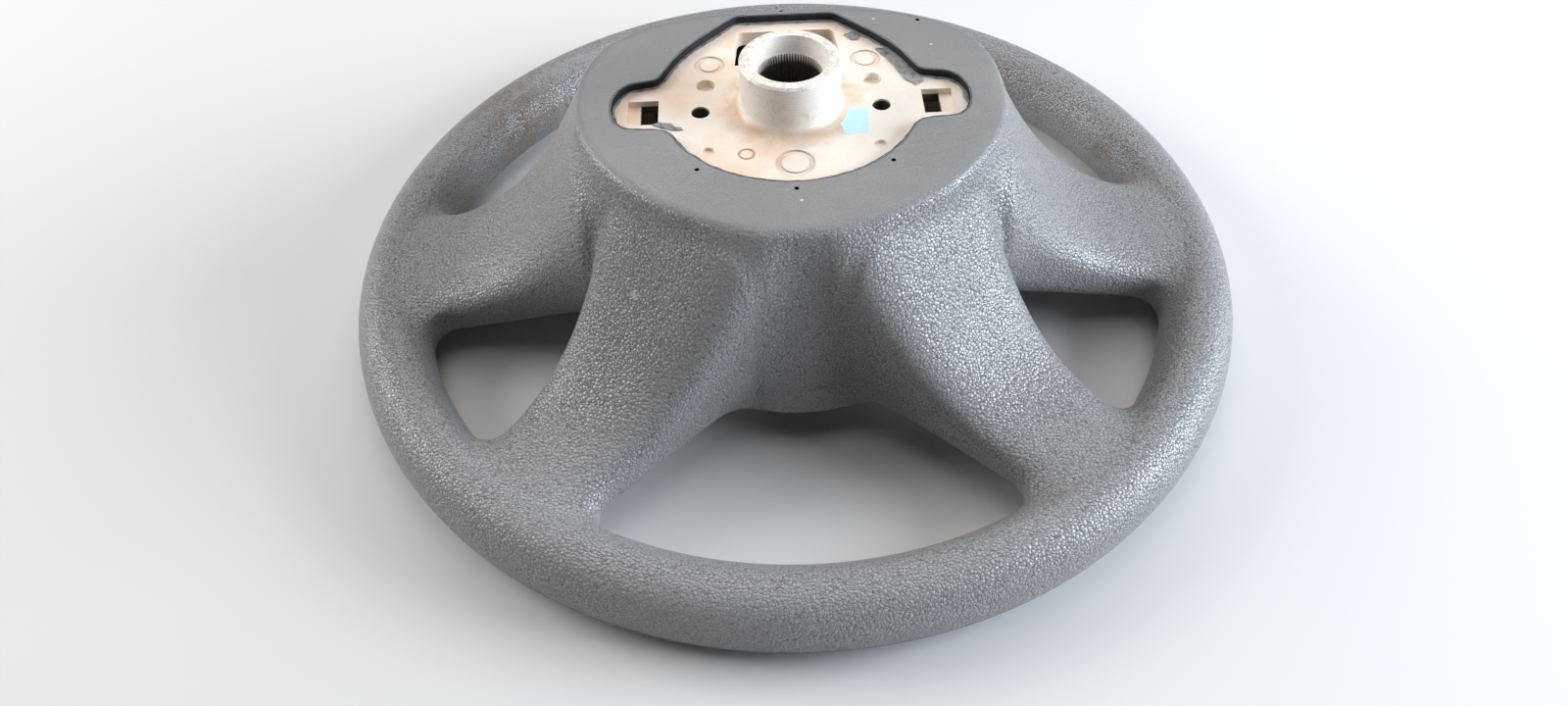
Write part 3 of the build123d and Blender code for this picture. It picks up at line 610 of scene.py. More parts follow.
OPENING_RADIUS = 49.9 * MM
OPENING_CORNER = 2.5 * MM
# Right half of the opening's outline from the top down, in millimetres; an arc closes it below.
OPENING_HALF = [
    (20.0, 53.9), (27.6, 46.4), (35.0, 39.0), (41.0, 32.0), (45.4, 25.0), (48.6, 18.0),
    (51.2, 13.2), (56.0, 12.2), (61.5, 11.3), (65.6, 7.8), (68.2, 1.5), (68.5, -5.5),
    (67.0, -12.0), (63.0, -16.3), (56.5, -16.9), (50.0, -17.3),
]
OPENING_ARC_FROM = -23.0
OPENING_ARC_POINTS = 25
PLATE_TOP = 101.0 * MM
PLATE_BOTTOM = 95.0 * MM
VENT_RADIUS = 0.9 * MM
VENT_DEPTH = 1.6 * MM
VENTS = [(-35.8, -41.5), (-0.6, -54.0), (35.1, -41.0), (54.2, 46.1), (-0.9, 56.9)]
# The foam's grain, and how far under the face it fades out.
GRAIN_SCALE = 800.0
GRAIN_SHIFT = 1.1 * MM
GRAIN_DEPTH = 0.40 * MM
GRAIN_FADE = (2.4 * MM, 0.2 * MM)
CREASE_WIDTH = 0.11
SPECKS = [(0.8, -60.4), (57.6, 28.7), (36.4, 48.1)]
SPECK_REACH = 1.1 * MM
SCUFF = (-61.1 * MM, -69.4 * MM, 70.9 * MM)
SCUFF_REACH = 6 * MM
# Each dusty place with its reach in millimetres and the most dust there.
DUSTY = [((-122.0, 95.0, 22.0), 56.0, 0.75), ((146.8, 57.9, 23.7), 14.0, 0.6)]


def foam_finish(colours, sizes):
    """Foam skin: grained like leather, with painted sheen on the raised grain and painted shade with dirt in
    its creases; nearly smooth on the face, dusty and scuffed in places.
    """
    finish = Finish("foam_skin", colours.foam, 0.5, Specular_IOR_Level=0.85)
    face = sizes.face_height
    level = finish.spread(finish.axis("Z"), *(face - depth for depth in GRAIN_FADE), 1.0, 0.2)
    bend = finish.add("TexNoise", Vector=finish.place(), Scale=600.0, Detail=2.0).outputs["Color"]
    options = {"operation": "MULTIPLY_ADD"}
    shifted = finish.add("VectorMath", options, _0=bend, _1=(GRAIN_SHIFT,) * 3, _2=finish.place())
    shifted = shifted.outputs["Vector"]
    pebbles = finish.cells(GRAIN_SCALE, "SMOOTH_F1", shifted)
    creases = finish.spread(finish.cells(GRAIN_SCALE, "DISTANCE_TO_EDGE", shifted), 0.0, CREASE_WIDTH)
    height = finish.math("MULTIPLY", finish.math("SUBTRACT", creases, pebbles), level)
    normal = finish.bump(finish.noise(1900.0, 2.0), 0.14 * MM, 0.4)
    normal = finish.bump(height, GRAIN_DEPTH, 0.9, Normal=normal)
    worn = finish.spread(finish.noise(26.0, 4.0), 0.42, 0.72)
    tone = finish.mix(worn, colours.foam, colours.foam_worn)
    # Painted shade with dirt in the grain's creases and painted sheen on its raised parts, both fading out
    # towards the face.
    shaded_dirty_creases = finish.math("MULTIPLY", finish.math("SUBTRACT", 1.0, creases), level)
    grained = finish.mix(shaded_dirty_creases, colours.grain, colours.crease_shade_and_dirt_tone)
    tone = finish.mix(finish.math("MULTIPLY", level, 0.9), tone, grained)
    for place, reach, most in DUSTY:
        near = finish.near(*in_mm([place]), reach * MM)
        dust = finish.math("MULTIPLY", near, finish.noise(190.0, 5.0, 0.7))
        tone = finish.mix(finish.spread(dust, 0.10, 0.62, 0.0, most), tone, colours.dust)
    scuff = finish.math("MULTIPLY", finish.near(SCUFF, SCUFF_REACH), finish.noise(1400.0, 3.0, 0.8))
    tone = finish.mix(finish.spread(scuff, 0.34, 0.44, 0.0, 0.8), tone, colours.chip)
    chips = finish.spread(finish.cells(95.0), 0.040, 0.024, 0.0, 0.5)
    for x, y in in_mm(SPECKS):
        speck = finish.spread(finish.near((x, y, face), SPECK_REACH), 0.3, 0.6)
        chips = finish.math("MAXIMUM", chips, speck)
    tone = finish.mix(chips, tone, colours.chip)
    rough = finish.spread(finish.noise(60.0, 4.0), 0.3, 0.7, 0.33, 0.44)
    return finish.to_shader(Base_Color=tone, Roughness=rough, Normal=normal)


def scaled(base, factor):
    """A colour made lighter or darker."""
    return tuple(min(1.0, factor * part) for part in base)


def flash_finish(colours):
    """Thin torn foam, dull and uneven."""
    finish = Finish("foam_flash", colours.foam_worn, 0.7, Specular_IOR_Level=0.35)
    share = finish.spread(finish.noise(420.0, 3.0), 0.30, 0.50)
    tone = finish.mix(share, colours.crease_shade_and_dirt_tone, colours.grain)
    return finish.to_shader(Base_Color=tone, Normal=finish.bump(finish.noise(900.0, 3.0), 0.2 * MM, 0.6))


def cloudy_finish(name, base, tint, roughness, cloud, unevenness, specular=0.5):
    """A plain finish that clouds over to a tint and is uneven by a noise's scale, a depth and a strength."""
    finish = Finish(name, base, roughness, Specular_IOR_Level=specular)
    scale, depth, strength = unevenness
    normal = finish.bump(finish.noise(scale), depth, strength)
    return finish.to_shader(Base_Color=finish.mix(finish.noise(*cloud), base, tint), Normal=normal)


def core_and_shade_finish(colours):
    """Near-black foam in the opening's wall and in the vent pits: the bare core's own dark colour with
    painted shade.
    """
    base, unevenness = colours.core_and_shade_tone, (900.0, 0.25 * MM, 0.6)
    return cloudy_finish("dark_foam_with_shade", base, scaled(base, 2.5), 0.8, (500.0, 3.0), unevenness, 0.25)


# Two opposite corners of each dark hole on the right, in millimetres; the holes' walls are painted dark for
# shade and greasy dirt.
DARK_HOLES = [
    ((50.5, -10.2, 90.0), (57.7, 4.7, 98.6)),
    ((30.8, -7.7, 90.0), (38.4, -0.1, 100.2)),
]
# Centre and diameters of each struck circle, in millimetres.
MARKS = [
    ((31.0, 26.1), (11.7, 7.8)),
    ((-31.0, 26.1), (11.7, 7.8)),
    ((0.0, -35.8), (14.3, 10.6)),
    ((-17.8, -29.7), (6.3, 4.7)),
]
# Each pair is where a change of colour begins and where it ends.
PALE_ACROSS = (5 * MM, 45 * MM)
STAINED_RADII = (40 * MM, 21 * MM)
MARK_WIDTHS = (0.45 * MM, 0.1 * MM)
COLLAR_FOOT = (101.6 * MM, 103.6 * MM)
HOLE_EDGE = 0.15 * MM
# Each kind of wear on the collar: its pattern's scale, the range that shows, and the most wear.
COLLAR_WEAR = [(140.0, 0.54, 0.72, 0.3), (620.0, 0.58, 0.68, 0.4)]


def inside_box(finish, low, high):
    """1 inside a box given by two corners, on the left and the right alike, and 0 outside it."""
    split = finish.add("SeparateXYZ", Vector=finish.place())
    sides = []
    for axis, start, stop in zip("XYZ", low, high):
        value = split.outputs[axis]
        if axis == "X":
            value = finish.math("ABSOLUTE", value)
        sides.append(finish.spread(value, start - HOLE_EDGE, start + HOLE_EDGE))
        sides.append(finish.spread(value, stop + HOLE_EDGE, stop - HOLE_EDGE))
    share = sides[0]
    for side in sides[1:]:
        share = finish.math("MULTIPLY", share, side)
    return share


def collar_tone(finish, colours):
    """Colour of the turned collar: pale, with fine rings and worn spots."""
    rings = finish.bands("Z", 240.0, Distortion=3.0, Detail=3.0)
    tone = finish.mix(finish.math("MULTIPLY", rings, 0.22), colours.collar, colours.alloy)
    for scale, low, high, most in COLLAR_WEAR:
        wear = finish.spread(finish.noise(scale, 5.0, 0.7), low, high, 0.0, most)
        tone = finish.mix(wear, tone, colours.collar_worn)
    return tone


def alloy_finish(colours):
    """Dull cast alloy, stained brown round the collar, with fine dirt, painted shade with greasy dirt in its
    holes, and painted shade along the edges of its struck circles.
    """
    finish = Finish("cast_alloy", colours.alloy, 0.5, 0.1, Specular_IOR_Level=0.45)
    cloud = finish.spread(finish.noise(34.0, 5.0, 0.62), 0.36, 0.66)
    # Paler towards the right side, by a gradient across x, on top of the random clouds.
    pale = finish.math("ADD", cloud, finish.spread(finish.axis("X"), *PALE_ACROSS, 0.0, 0.7))
    tone = finish.mix(finish.math("MINIMUM", pale, 1.0), colours.alloy, colours.alloy_pale)
    ring = finish.spread(finish.radius(), *STAINED_RADII)
    ring = finish.math("MULTIPLY", ring, finish.noise(75.0, 4.0, 0.65))
    tone = finish.mix(finish.spread(ring, 0.22, 0.60, 0.0, 0.6), tone, colours.alloy_stain)
    dirt_and_groove_shade = finish.spread(finish.noise(900.0, 3.0, 0.7), 0.62, 0.72, 0.0, 0.3)
    # Dark lines painted at both edges of each struck circle, as shade in its groove.
    for (x, y), diameters in MARKS:
        gap = finish.gap_to((x * MM, y * MM, PLATE_TOP))
        for diameter in diameters:
            off = finish.math("ABSOLUTE", finish.math("SUBTRACT", gap, diameter / 2 * MM))
            dirt_and_groove_shade = finish.math("MAXIMUM", dirt_and_groove_shade, finish.spread(off, *MARK_WIDTHS, 0.0, 0.5))
    tone = finish.mix(dirt_and_groove_shade, tone, colours.alloy_stain)
    # Painted shade with greasy dirt on the holes' walls.
    for corners in DARK_HOLES:
        tone = finish.mix(inside_box(finish, *in_mm(corners)), tone, colours.bore)
    on_collar = finish.spread(finish.axis("Z"), *COLLAR_FOOT)
    tone = finish.mix(on_collar, tone, collar_tone(finish, colours))
    normal = finish.bump(finish.noise(420.0, 4.0, 0.6), 0.18 * MM, 0.45)
    rough = finish.spread(finish.noise(120.0, 4.0), 0.3, 0.7, 0.44, 0.62)
    return finish.to_shader(Base_Color=tone, Roughness=rough, Normal=normal)


# The bore's lead-in, and the spline teeth from tip to root with the heights below which they are painted
# dark, for grease and for shade deeper in the bore.
LEAD_IN_RADII = (13.7 * MM, 13.0 * MM)
TOOTH_RADII = (12.1 * MM, 12.9 * MM)
TOOTH_DARK_FROM = (BOSS_TOP - 9.5 * MM, BOSS_TOP - 6.4 * MM)
DARK_FADE = 1.0 * MM
WORN_LIP = 6 * MM


def turned_finish(colours):
    """Turned alloy with tool lines, worn and marked on top, and painted dark in the splined bore for grease
    and for shade, darker deeper down.
    """
    finish = Finish("turned_alloy", colours.collar, 0.45, 0.1, Specular_IOR_Level=0.45)
    height = finish.axis("Z")
    tone = collar_tone(finish, colours)
    lip = finish.spread(height, BOSS_TOP - WORN_LIP, BOSS_TOP)
    lip = finish.math("MULTIPLY", lip, finish.noise(420.0, 5.0, 0.75))
    tone = finish.mix(finish.spread(lip, 0.46, 0.66, 0.0, 0.55), tone, colours.collar_worn)
    inside = finish.spread(finish.radius(), *LEAD_IN_RADII)
    dark_from = finish.spread(finish.radius(), *TOOTH_RADII, *TOOTH_DARK_FROM)
    # Painted shade with grease: darker deeper in the bore, and higher up between the teeth.
    bore_shade = finish.spread(finish.math("SUBTRACT", dark_from, height), 0.0, DARK_FADE)
    tone = finish.mix(finish.math("MULTIPLY", inside, bore_shade), tone, colours.bore)
    normal = finish.bump(finish.noise(420.0, 4.0, 0.6), 0.10 * MM, 0.4)
    lines = finish.bands("Z", 900.0, Distortion=1.2, Detail=2.0)
    normal = finish.bump(lines, 0.05 * MM, 0.4, Normal=normal)
    rough = finish.spread(finish.noise(120.0, 4.0), 0.3, 0.7, 0.40, 0.56)
    return finish.to_shader(Base_Color=tone, Roughness=rough, Normal=normal)


def plain_metal(name, base, tint, roughness, scale):
    """A metal with cloudy colour and slight unevenness."""
    finish = Finish(name, base, roughness, 1.0)
    tone = finish.mix(finish.spread(finish.noise(scale, 4.0), 0.35, 0.65), base, tint)
    rough = finish.spread(finish.noise(scale * 3, 3.0), 0.3, 0.7, roughness - 0.06, roughness + 0.08)
    normal = finish.bump(finish.noise(scale * 9, 3.0), 0.03 * MM, 0.3)
    return finish.to_shader(Base_Color=tone, Roughness=rough, Normal=normal)


def pad_finish(colours):
    """Fine-grained skin of the horn pad."""
    finish = Finish("pad_skin", colours.pad, 0.55)
    normal = finish.bump(finish.cells(900.0, "SMOOTH_F1"), 0.12 * MM, 0.5)
    tone = finish.mix(finish.noise(30.0, 3.0), colours.pad, scaled(colours.pad, 0.85))
    return finish.to_shader(Base_Color=tone, Normal=normal)


def acetal_finish(colours):
    """Natural moulded plastic, slightly cloudy."""
    base, unevenness = colours.acetal, (1500.0, 0.03 * MM, 0.3)
    return cloudy_finish("guide_plastic", base, scaled(base, 0.92), 0.42, (220.0, 3.0), unevenness)


def cloth_finish(colours):
    """Plain woven cloth."""
    finish = Finish("cushion_cloth", colours.cloth, 0.85)
    weave = finish.math("MAXIMUM", finish.bands("X", 420.0), finish.bands("Y", 420.0))
    tone = finish.mix(weave, scaled(colours.cloth, 0.8), colours.cloth)
    return finish.to_shader(Base_Color=tone, Normal=finish.bump(weave, 0.15 * MM, 0.6))


def paint_finish(colours):
    """Thin paint, brushed on by hand."""
    base, unevenness = colours.paint, (700.0, 0.06 * MM, 0.4)
    return cloudy_finish("paint_dab", base, scaled(base, 1.2), 0.5, (260.0, 4.0), unevenness)


CORNER_STEPS = 5
CORNER_PART = 2.2


def rounded_outline(corners, radius):
    """A closed outline with its corners rounded by short curves, as far as its sides leave room."""
    points = []
    count = len(corners)
    for i in range(count):
        before, here, after = (Vector(corners[j % count]) for j in (i - 1, i, i + 1))
        reach = min(radius, (before - here).length / CORNER_PART, (after - here).length / CORNER_PART)
        start = here + (before - here).normalized() * reach
        end = here + (after - here).normalized() * reach
        for step in range(CORNER_STEPS + 1):
            share = step / CORNER_STEPS
            points.append(start.lerp(here, share).lerp(here.lerp(end, share), share))
    return [(point.x, point.y) for point in points]


def opening_outline():
    """The outline of the opening that bares the cast plate."""
    half = in_mm(OPENING_HALF)
    arc = []
    for degrees in np.linspace(OPENING_ARC_FROM, -180 - OPENING_ARC_FROM, OPENING_ARC_POINTS):
        angle = math.radians(degrees)
        arc.append((OPENING_RADIUS * math.cos(angle), OPENING_RADIUS * math.sin(angle)))
    mirrored = [(-x, y) for x, y in reversed(half)]
    return rounded_outline(half + arc + mirrored, OPENING_CORNER)[::-1]


def resample(outline, count):
    """Points spaced evenly along a closed outline."""
    closed = np.array([*outline, outline[0]])
    run = np.concatenate([[0], np.cumsum(np.linalg.norm(np.diff(closed, axis=0), axis=1))])
    at = np.linspace(0, run[-1], count, endpoint=False)
    return np.stack([np.interp(at, run, closed[:, i]) for i in range(2)], axis=1)


def moved_in(outline, inset):
    """A counter-clockwise outline moved in by an inset at each point."""
    along = np.roll(outline, -1, axis=0) - np.roll(outline, 1, axis=0)
    along /= np.linalg.norm(along, axis=1)[:, None]
    inward = np.stack([-along[:, 1], along[:, 0]], axis=1)
    return outline + inward * np.reshape(inset, (-1, 1))


def wander(rng, count, low, high, smoothing=2):
    """Widths that wander between two limits along a closed line."""
    share = rng.random(count)
    for _ in range(smoothing):
        share = (np.roll(share, 1) + 2 * share + np.roll(share, -1)) / 4
    return low + (high - low) * (share - share.min()) / np.ptp(share)


BEAD_SECTION = ((0.5, -0.5), (0.33, 0.6), (0.0, 1.0), (-0.33, 0.6), (-0.5, -0.5))


def bead(path, up, width, height, closed):
    """Points and faces of a low ridge along a path on a skin, its foot sunk in the skin."""
    along = np.roll(path, -1, axis=0) - np.roll(path, 1, axis=0) if closed else np.gradient(path, axis=0)
    across = np.cross(up, along)
    across /= np.linalg.norm(across, axis=1)[:, None]
    section = [path + across * width * out + up * height * over for out, over in BEAD_SECTION]
    rings = np.stack(section, axis=1)
    if closed:
        return np.concatenate(rings), ring_faces(len(rings), len(section))
    return ring_solid(rings)


def circle(x, y, radius, count=16):
    """An outline of a circle."""
    angles = [2 * math.pi * i / count for i in range(count)]
    return [(x + radius * math.cos(angle), y + radius * math.sin(angle)) for angle in angles]


class WHEEL_OT_foam_cover(bpy.types.Operator):
    """Mould the foam over rim, spokes and hub as one skin, and cut its opening, vent pits and front cavity"""

    bl_idname = "wheel.foam_cover"
    bl_label = "Foam Cover"

    def execute(self, context):
        sizes, colours = context.scene.wheel_foam, context.scene.wheel_colours
        form = FoamForm(sizes)
        reach = sizes.rim_diameter / 2 + 2 * sizes.cell
        low = (-reach, -reach, -2 * sizes.cell)
        high = (reach, reach, sizes.face_height + 2 * sizes.cell)
        points, faces = skin_mesh(form, low, high, sizes.cell, sizes.wall)
        foam = new_object("foam_skin", points, faces, foam_finish(colours, sizes))
        # Near-black finish for the cut walls: the core's own colour with painted shade.
        core = core_and_shade_finish(colours)
        top = sizes.face_height + sizes.wall
        outlines = [(opening_outline(), PLATE_BOTTOM - sizes.wall, top)]
        for x, y in in_mm(VENTS):
            outlines.append((circle(x, y, VENT_RADIUS), sizes.face_height - VENT_DEPTH, top))
        cut_away(foam, new_object("opening_cutter", *prism(outlines), core))
        cavity = [form.hub_outline(height, sizes.wall) for height in (-sizes.wall, PLATE_BOTTOM)]
        cut_away(foam, new_object("cavity_cutter", *ring_solid(cavity), core))
        if not foam.data.polygons:
            raise RuntimeError("the foam's skin came out empty")
        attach(foam, WHEEL)
        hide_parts("foam_cover")
        return {"FINISHED"}


class WHEEL_OT_foam_flash(bpy.types.Operator):
    """Lay the thin torn foam that the mould left on the plate round the opening"""

    bl_idname = "wheel.foam_flash"
    bl_label = "Foam Flash"

    COUNT = 420
    WIDTHS = (0.7 * MM, 2.0 * MM)
    SMOOTHING = 5
    THICKNESS = 0.4 * MM
    SUNK = 0.1 * MM
    BURIED = 0.5 * MM
    TORN = [
        [(24.0, 42.6), (26.4, 39.0), (29.6, 38.8), (29.9, 42.2), (26.9, 44.5)],
        [(35.7, 32.2), (37.6, 28.4), (39.8, 25.3), (41.0, 21.0), (42.8, 17.2), (44.2, 13.4), (45.9, 10.6),
         (49.2, 6.5), (52.6, 9.6), (50.6, 16.0), (47.2, 22.4), (43.6, 29.2), (40.3, 32.5)],
        [(-52.7, -10.5), (-49.3, -12.5), (-43.8, -14.9), (-41.2, -14.2), (-45.7, -10.4), (-50.5, -9.4)],
    ]
    TORN_COUNT = 60
    TORN_WIDTHS = (-0.4 * MM, 0.5 * MM)
    TORN_SHARE = 1.2
    LIP_WIDTHS = (0.25 * MM, 0.8 * MM)
    LIP_HEIGHTS = (0.08 * MM, -0.3 * MM, -0.9 * MM, -0.6 * MM)
    LIP_BURIED = 0.2 * MM

    def lip(self, rng, outline, face):
        """Points and faces of the dark torn lip along the opening's upper edge."""
        inner = moved_in(outline, wander(rng, self.COUNT, *self.LIP_WIDTHS))
        outer = moved_in(outline, -wander(rng, self.COUNT, *self.LIP_WIDTHS))
        section = zip((outer, inner, inner, moved_in(outline, -self.LIP_BURIED)), self.LIP_HEIGHTS)
        rings = [at_height(ring, face + rise) for ring, rise in section]
        return np.concatenate(rings), ring_faces(len(rings), self.COUNT)

    def execute(self, context):
        rng = np.random.default_rng(context.scene.wheel_stage.seed)
        outline = resample(opening_outline(), self.COUNT)
        inner = moved_in(outline, wander(rng, self.COUNT, *self.WIDTHS, self.SMOOTHING))
        outer = moved_in(outline, -self.BURIED)
        low, high = PLATE_TOP - self.SUNK, PLATE_TOP + self.THICKNESS
        rings = [at_height(inner, high), at_height(inner, low), at_height(outer, low), at_height(outer, high)]
        parts = [(np.concatenate(rings), ring_faces(len(rings), self.COUNT))]
        for corners in self.TORN:
            patch = resample(in_mm(corners), self.TORN_COUNT)
            patch = moved_in(patch, wander(rng, self.TORN_COUNT, *self.TORN_WIDTHS))
            parts.append(prism([(patch, low, PLATE_TOP + self.TORN_SHARE * self.THICKNESS)]))
        finish = flash_finish(context.scene.wheel_colours)
        flash = new_object("foam_flash", *joined(parts), finish, smooth=False)
        lip = self.lip(rng, outline, context.scene.wheel_foam.face_height)
        # The torn lip takes the same near-black finish, partly painted shade.
        torn_lip = new_object("opening_lip", *lip, bpy.data.materials["dark_foam_with_shade"], smooth=False)
        for piece in (flash, torn_lip):
            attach(piece, WHEEL)
        return {"FINISHED"}


class WHEEL_OT_parting_lines(bpy.types.Operator):
    """Raise the fine ridges where the halves of the foam's mould met"""

    bl_idname = "wheel.parting_lines"
    bl_label = "Parting Lines"

    WIDTH = 0.8 * MM
    HEIGHT = 0.22 * MM
    RIM_ANGLE = math.radians(-24)
    RIM_POINTS = 360
    PANEL_HEIGHT = 32.5 * MM
    PANEL_REACH = 22 * MM
    PANEL_POINTS = 60
    ROUNDS = 12

    def execute(self, context):
        sizes = context.scene.wheel_foam
        form = FoamForm(sizes)
        angle = np.linspace(0, 2 * math.pi, self.RIM_POINTS, endpoint=False)
        out = form.rim_radius + sizes.rim_width / 2 * math.cos(self.RIM_ANGLE)
        height = sizes.rim_height / 2 * (1 + math.sin(self.RIM_ANGLE))
        rim = at_height(np.stack([out * np.cos(angle), out * np.sin(angle)], axis=1), height)
        x = np.linspace(-self.PANEL_REACH, self.PANEL_REACH, self.PANEL_POINTS)
        y = np.full(self.PANEL_POINTS, -sizes.bottom_reach - sizes.bottom_flare)
        panel = at_height(np.stack([x, y], axis=1), self.PANEL_HEIGHT)
        parts = []
        for path, closed in ((rim, True), (panel, False)):
            path = settle(form, path, sizes.cell, self.ROUNDS)
            parts.append(bead(path, form.skin(path)[1], self.WIDTH, self.HEIGHT, closed))
        ridges = new_object("parting_lines", *joined(parts), bpy.data.materials["foam_skin"])
        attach(ridges, WHEEL)
        return {"FINISHED"}


class WHEEL_OT_casting(bpy.types.Operator):
    """Finish the cast armature and lay the dab of paint on its plate"""

    bl_idname = "wheel.casting"
    bl_label = "Casting"

    DAB = [
        (17.3, -12.4), (19.5, -8.0), (22.0, -5.1), (25.5, -6.2), (29.8, -5.6), (28.8, -11.0), (28.6, -17.0),
        (28.2, -20.7), (24.5, -19.8), (22.0, -21.4), (19.0, -20.6), (18.6, -16.5),
    ]
    DAB_CORNER = 1.6 * MM
    DAB_SUNK = 0.05 * MM
    DAB_THICKNESS = 0.08 * MM

    def execute(self, context):
        colours = context.scene.wheel_colours
        dress("armature", alloy_finish(colours))
        outline = rounded_outline(in_mm(self.DAB), self.DAB_CORNER)[::-1]
        shape = prism([(outline, PLATE_TOP - self.DAB_SUNK, PLATE_TOP + self.DAB_THICKNESS)])
        dab = new_object("paint_dab", *shape, paint_finish(colours), smooth=False)
        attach(dab, WHEEL)
        return {"FINISHED"}


def dress(node, material):
    """Gives a CAD node its finish."""
    if node not in frame["nodes"]:
        raise RuntimeError("there is no node named " + node)
    mesh = frame["nodes"][node].data
    mesh.materials.clear()
    mesh.materials.append(material)


PAD_LOW, PAD_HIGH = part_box("pad_cover")
PAD_INSET = 10.5 * MM
PAD_WALL = 3 * MM
PAD_FLANGE = 7 * MM
PAD_EDGE = 4 * MM
PAD_STEPS = 12
DOME_RADIUS = 360 * MM
DOME_MIDDLE = -9 * MM
CUSHION_WALL = 10.5 * MM
CUSHION_EDGE = 6 * MM
CUSHION_STEPS = 28
CUSHION_NECK = 0.6 * MM
NECK_RADIUS = 30.5 * MM
HOLLOW_RADIUS = 43.5 * MM
HOLLOW_BOTTOM = 35.5 * MM
FOLD_DEPTH = 1.1 * MM
FOLD_PITCH = 11 * MM
FOLD_EDGE = math.radians(50)
EDGE_ROUNDS = 4
EDGE_STEPS = 6


def dome_height(x, y, wall):
    """Height of the pad's domed front at a place, moved in by a wall."""
    flat = x**2 + (y - DOME_MIDDLE) ** 2
    return PAD_LOW.z + DOME_RADIUS - np.sqrt((DOME_RADIUS - wall) ** 2 - flat)


def shares(steps):
    """Equal steps up to 1, without the first at 0."""
    return np.linspace(0, 1, steps + 1)[1:]


def domed_rings(form, wall, top, edge_reach, steps):
    """Rings of a pad's form, from the middle of its domed front, round its soft edge and up its side."""
    inset = PAD_INSET + wall
    edge = form.hub_outline(PAD_LOW.z, inset)
    for _ in range(EDGE_ROUNDS):
        edge = form.hub_outline(dome_height(edge[:, 0], edge[:, 1], wall), inset)
    start = edge[:, :2] * (1 - edge_reach / np.linalg.norm(edge[:, :2], axis=1))[:, None]
    rings = []
    for share in shares(steps):
        x, y = (start * share).T
        rings.append(np.stack([x, y, dome_height(x, y, wall)], axis=1))
    side = form.hub_outline(edge[:, 2] + edge_reach, inset)
    first = rings[-1]
    for share in shares(EDGE_STEPS):
        rings.append((1 - share) ** 2 * first + 2 * share * (1 - share) * edge + share**2 * side)
    for share in shares(steps):
        rings.append(form.hub_outline(side[:, 2] + (top - side[:, 2]) * share, inset))
    return rings


def round_ring(like, radius, height):
    """A round ring with its points in the same directions as another ring's."""
    flat = like[:, :2] / np.linalg.norm(like[:, :2], axis=1)[:, None]
    return at_height(flat * radius, height)


def fold_depth(place, pitch):
    """How far the cushion's cloth is drawn in at a place along a row of folds."""
    return FOLD_DEPTH * (0.5 - 0.5 * np.cos(2 * math.pi * place / pitch))


def folded(ring):
    """A ring of the cushion, drawn in where its folds meet."""
    drawn = ring.copy()
    drawn[:, 2] = np.minimum(drawn[:, 2] + fold_depth(ring[:, 0], FOLD_PITCH), PAD_HIGH.z)
    side = fold_depth(ring[:, 2], FOLD_PITCH / 2)
    drawn[:, :2] *= (1 - side / np.linalg.norm(ring[:, :2], axis=1).max())[:, None]
    return drawn


class WHEEL_OT_pad(bpy.types.Operator):
    """Mould the horn pad's domed cover, with its soft front edge and the flange inside"""

    bl_idname = "wheel.pad"
    bl_label = "Horn Pad Cover"

    def execute(self, context):
        form = FoamForm(context.scene.wheel_foam)
        flange_low = PAD_HIGH.z - PAD_WALL
        inner = PAD_INSET + PAD_WALL
        rings = domed_rings(form, 0.0, PAD_HIGH.z, PAD_EDGE, PAD_STEPS)
        rings += [form.hub_outline(height, inner + PAD_FLANGE) for height in (PAD_HIGH.z, flange_low)]
        rings += reversed(domed_rings(form, PAD_WALL, flange_low, PAD_WALL, PAD_STEPS))
        pad = new_object("pad_skin", *ring_solid(rings), pad_finish(context.scene.wheel_colours))
        pad.data.set_sharp_from_angle(angle=SHARP_EDGE)
        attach(pad, PAD)
        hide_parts("pad_cover")
        return {"FINISHED"}


class WHEEL_OT_cushion(bpy.types.Operator):
    """Fold the air cushion into its pack round the gas generator"""

    bl_idname = "wheel.cushion"
    bl_label = "Folded Cushion"

    def execute(self, context):
        form = FoamForm(context.scene.wheel_foam)
        neck = PAD_HIGH.z - CUSHION_NECK
        outer = domed_rings(form, CUSHION_WALL, PAD_HIGH.z, CUSHION_EDGE, CUSHION_STEPS)
        rings = [folded(ring) for ring in outer]
        last = rings[-1]
        rings += [round_ring(last, NECK_RADIUS, height) for height in (PAD_HIGH.z, neck)]
        rings += [round_ring(last, HOLLOW_RADIUS, height) for height in (neck, HOLLOW_BOTTOM)]
        pack = new_object("cushion_pack", *ring_solid(rings), cloth_finish(context.scene.wheel_colours))
        pack.data.set_sharp_from_angle(angle=FOLD_EDGE)
        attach(pack, PAD)
        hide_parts("folded_cushion")
        return {"FINISHED"}


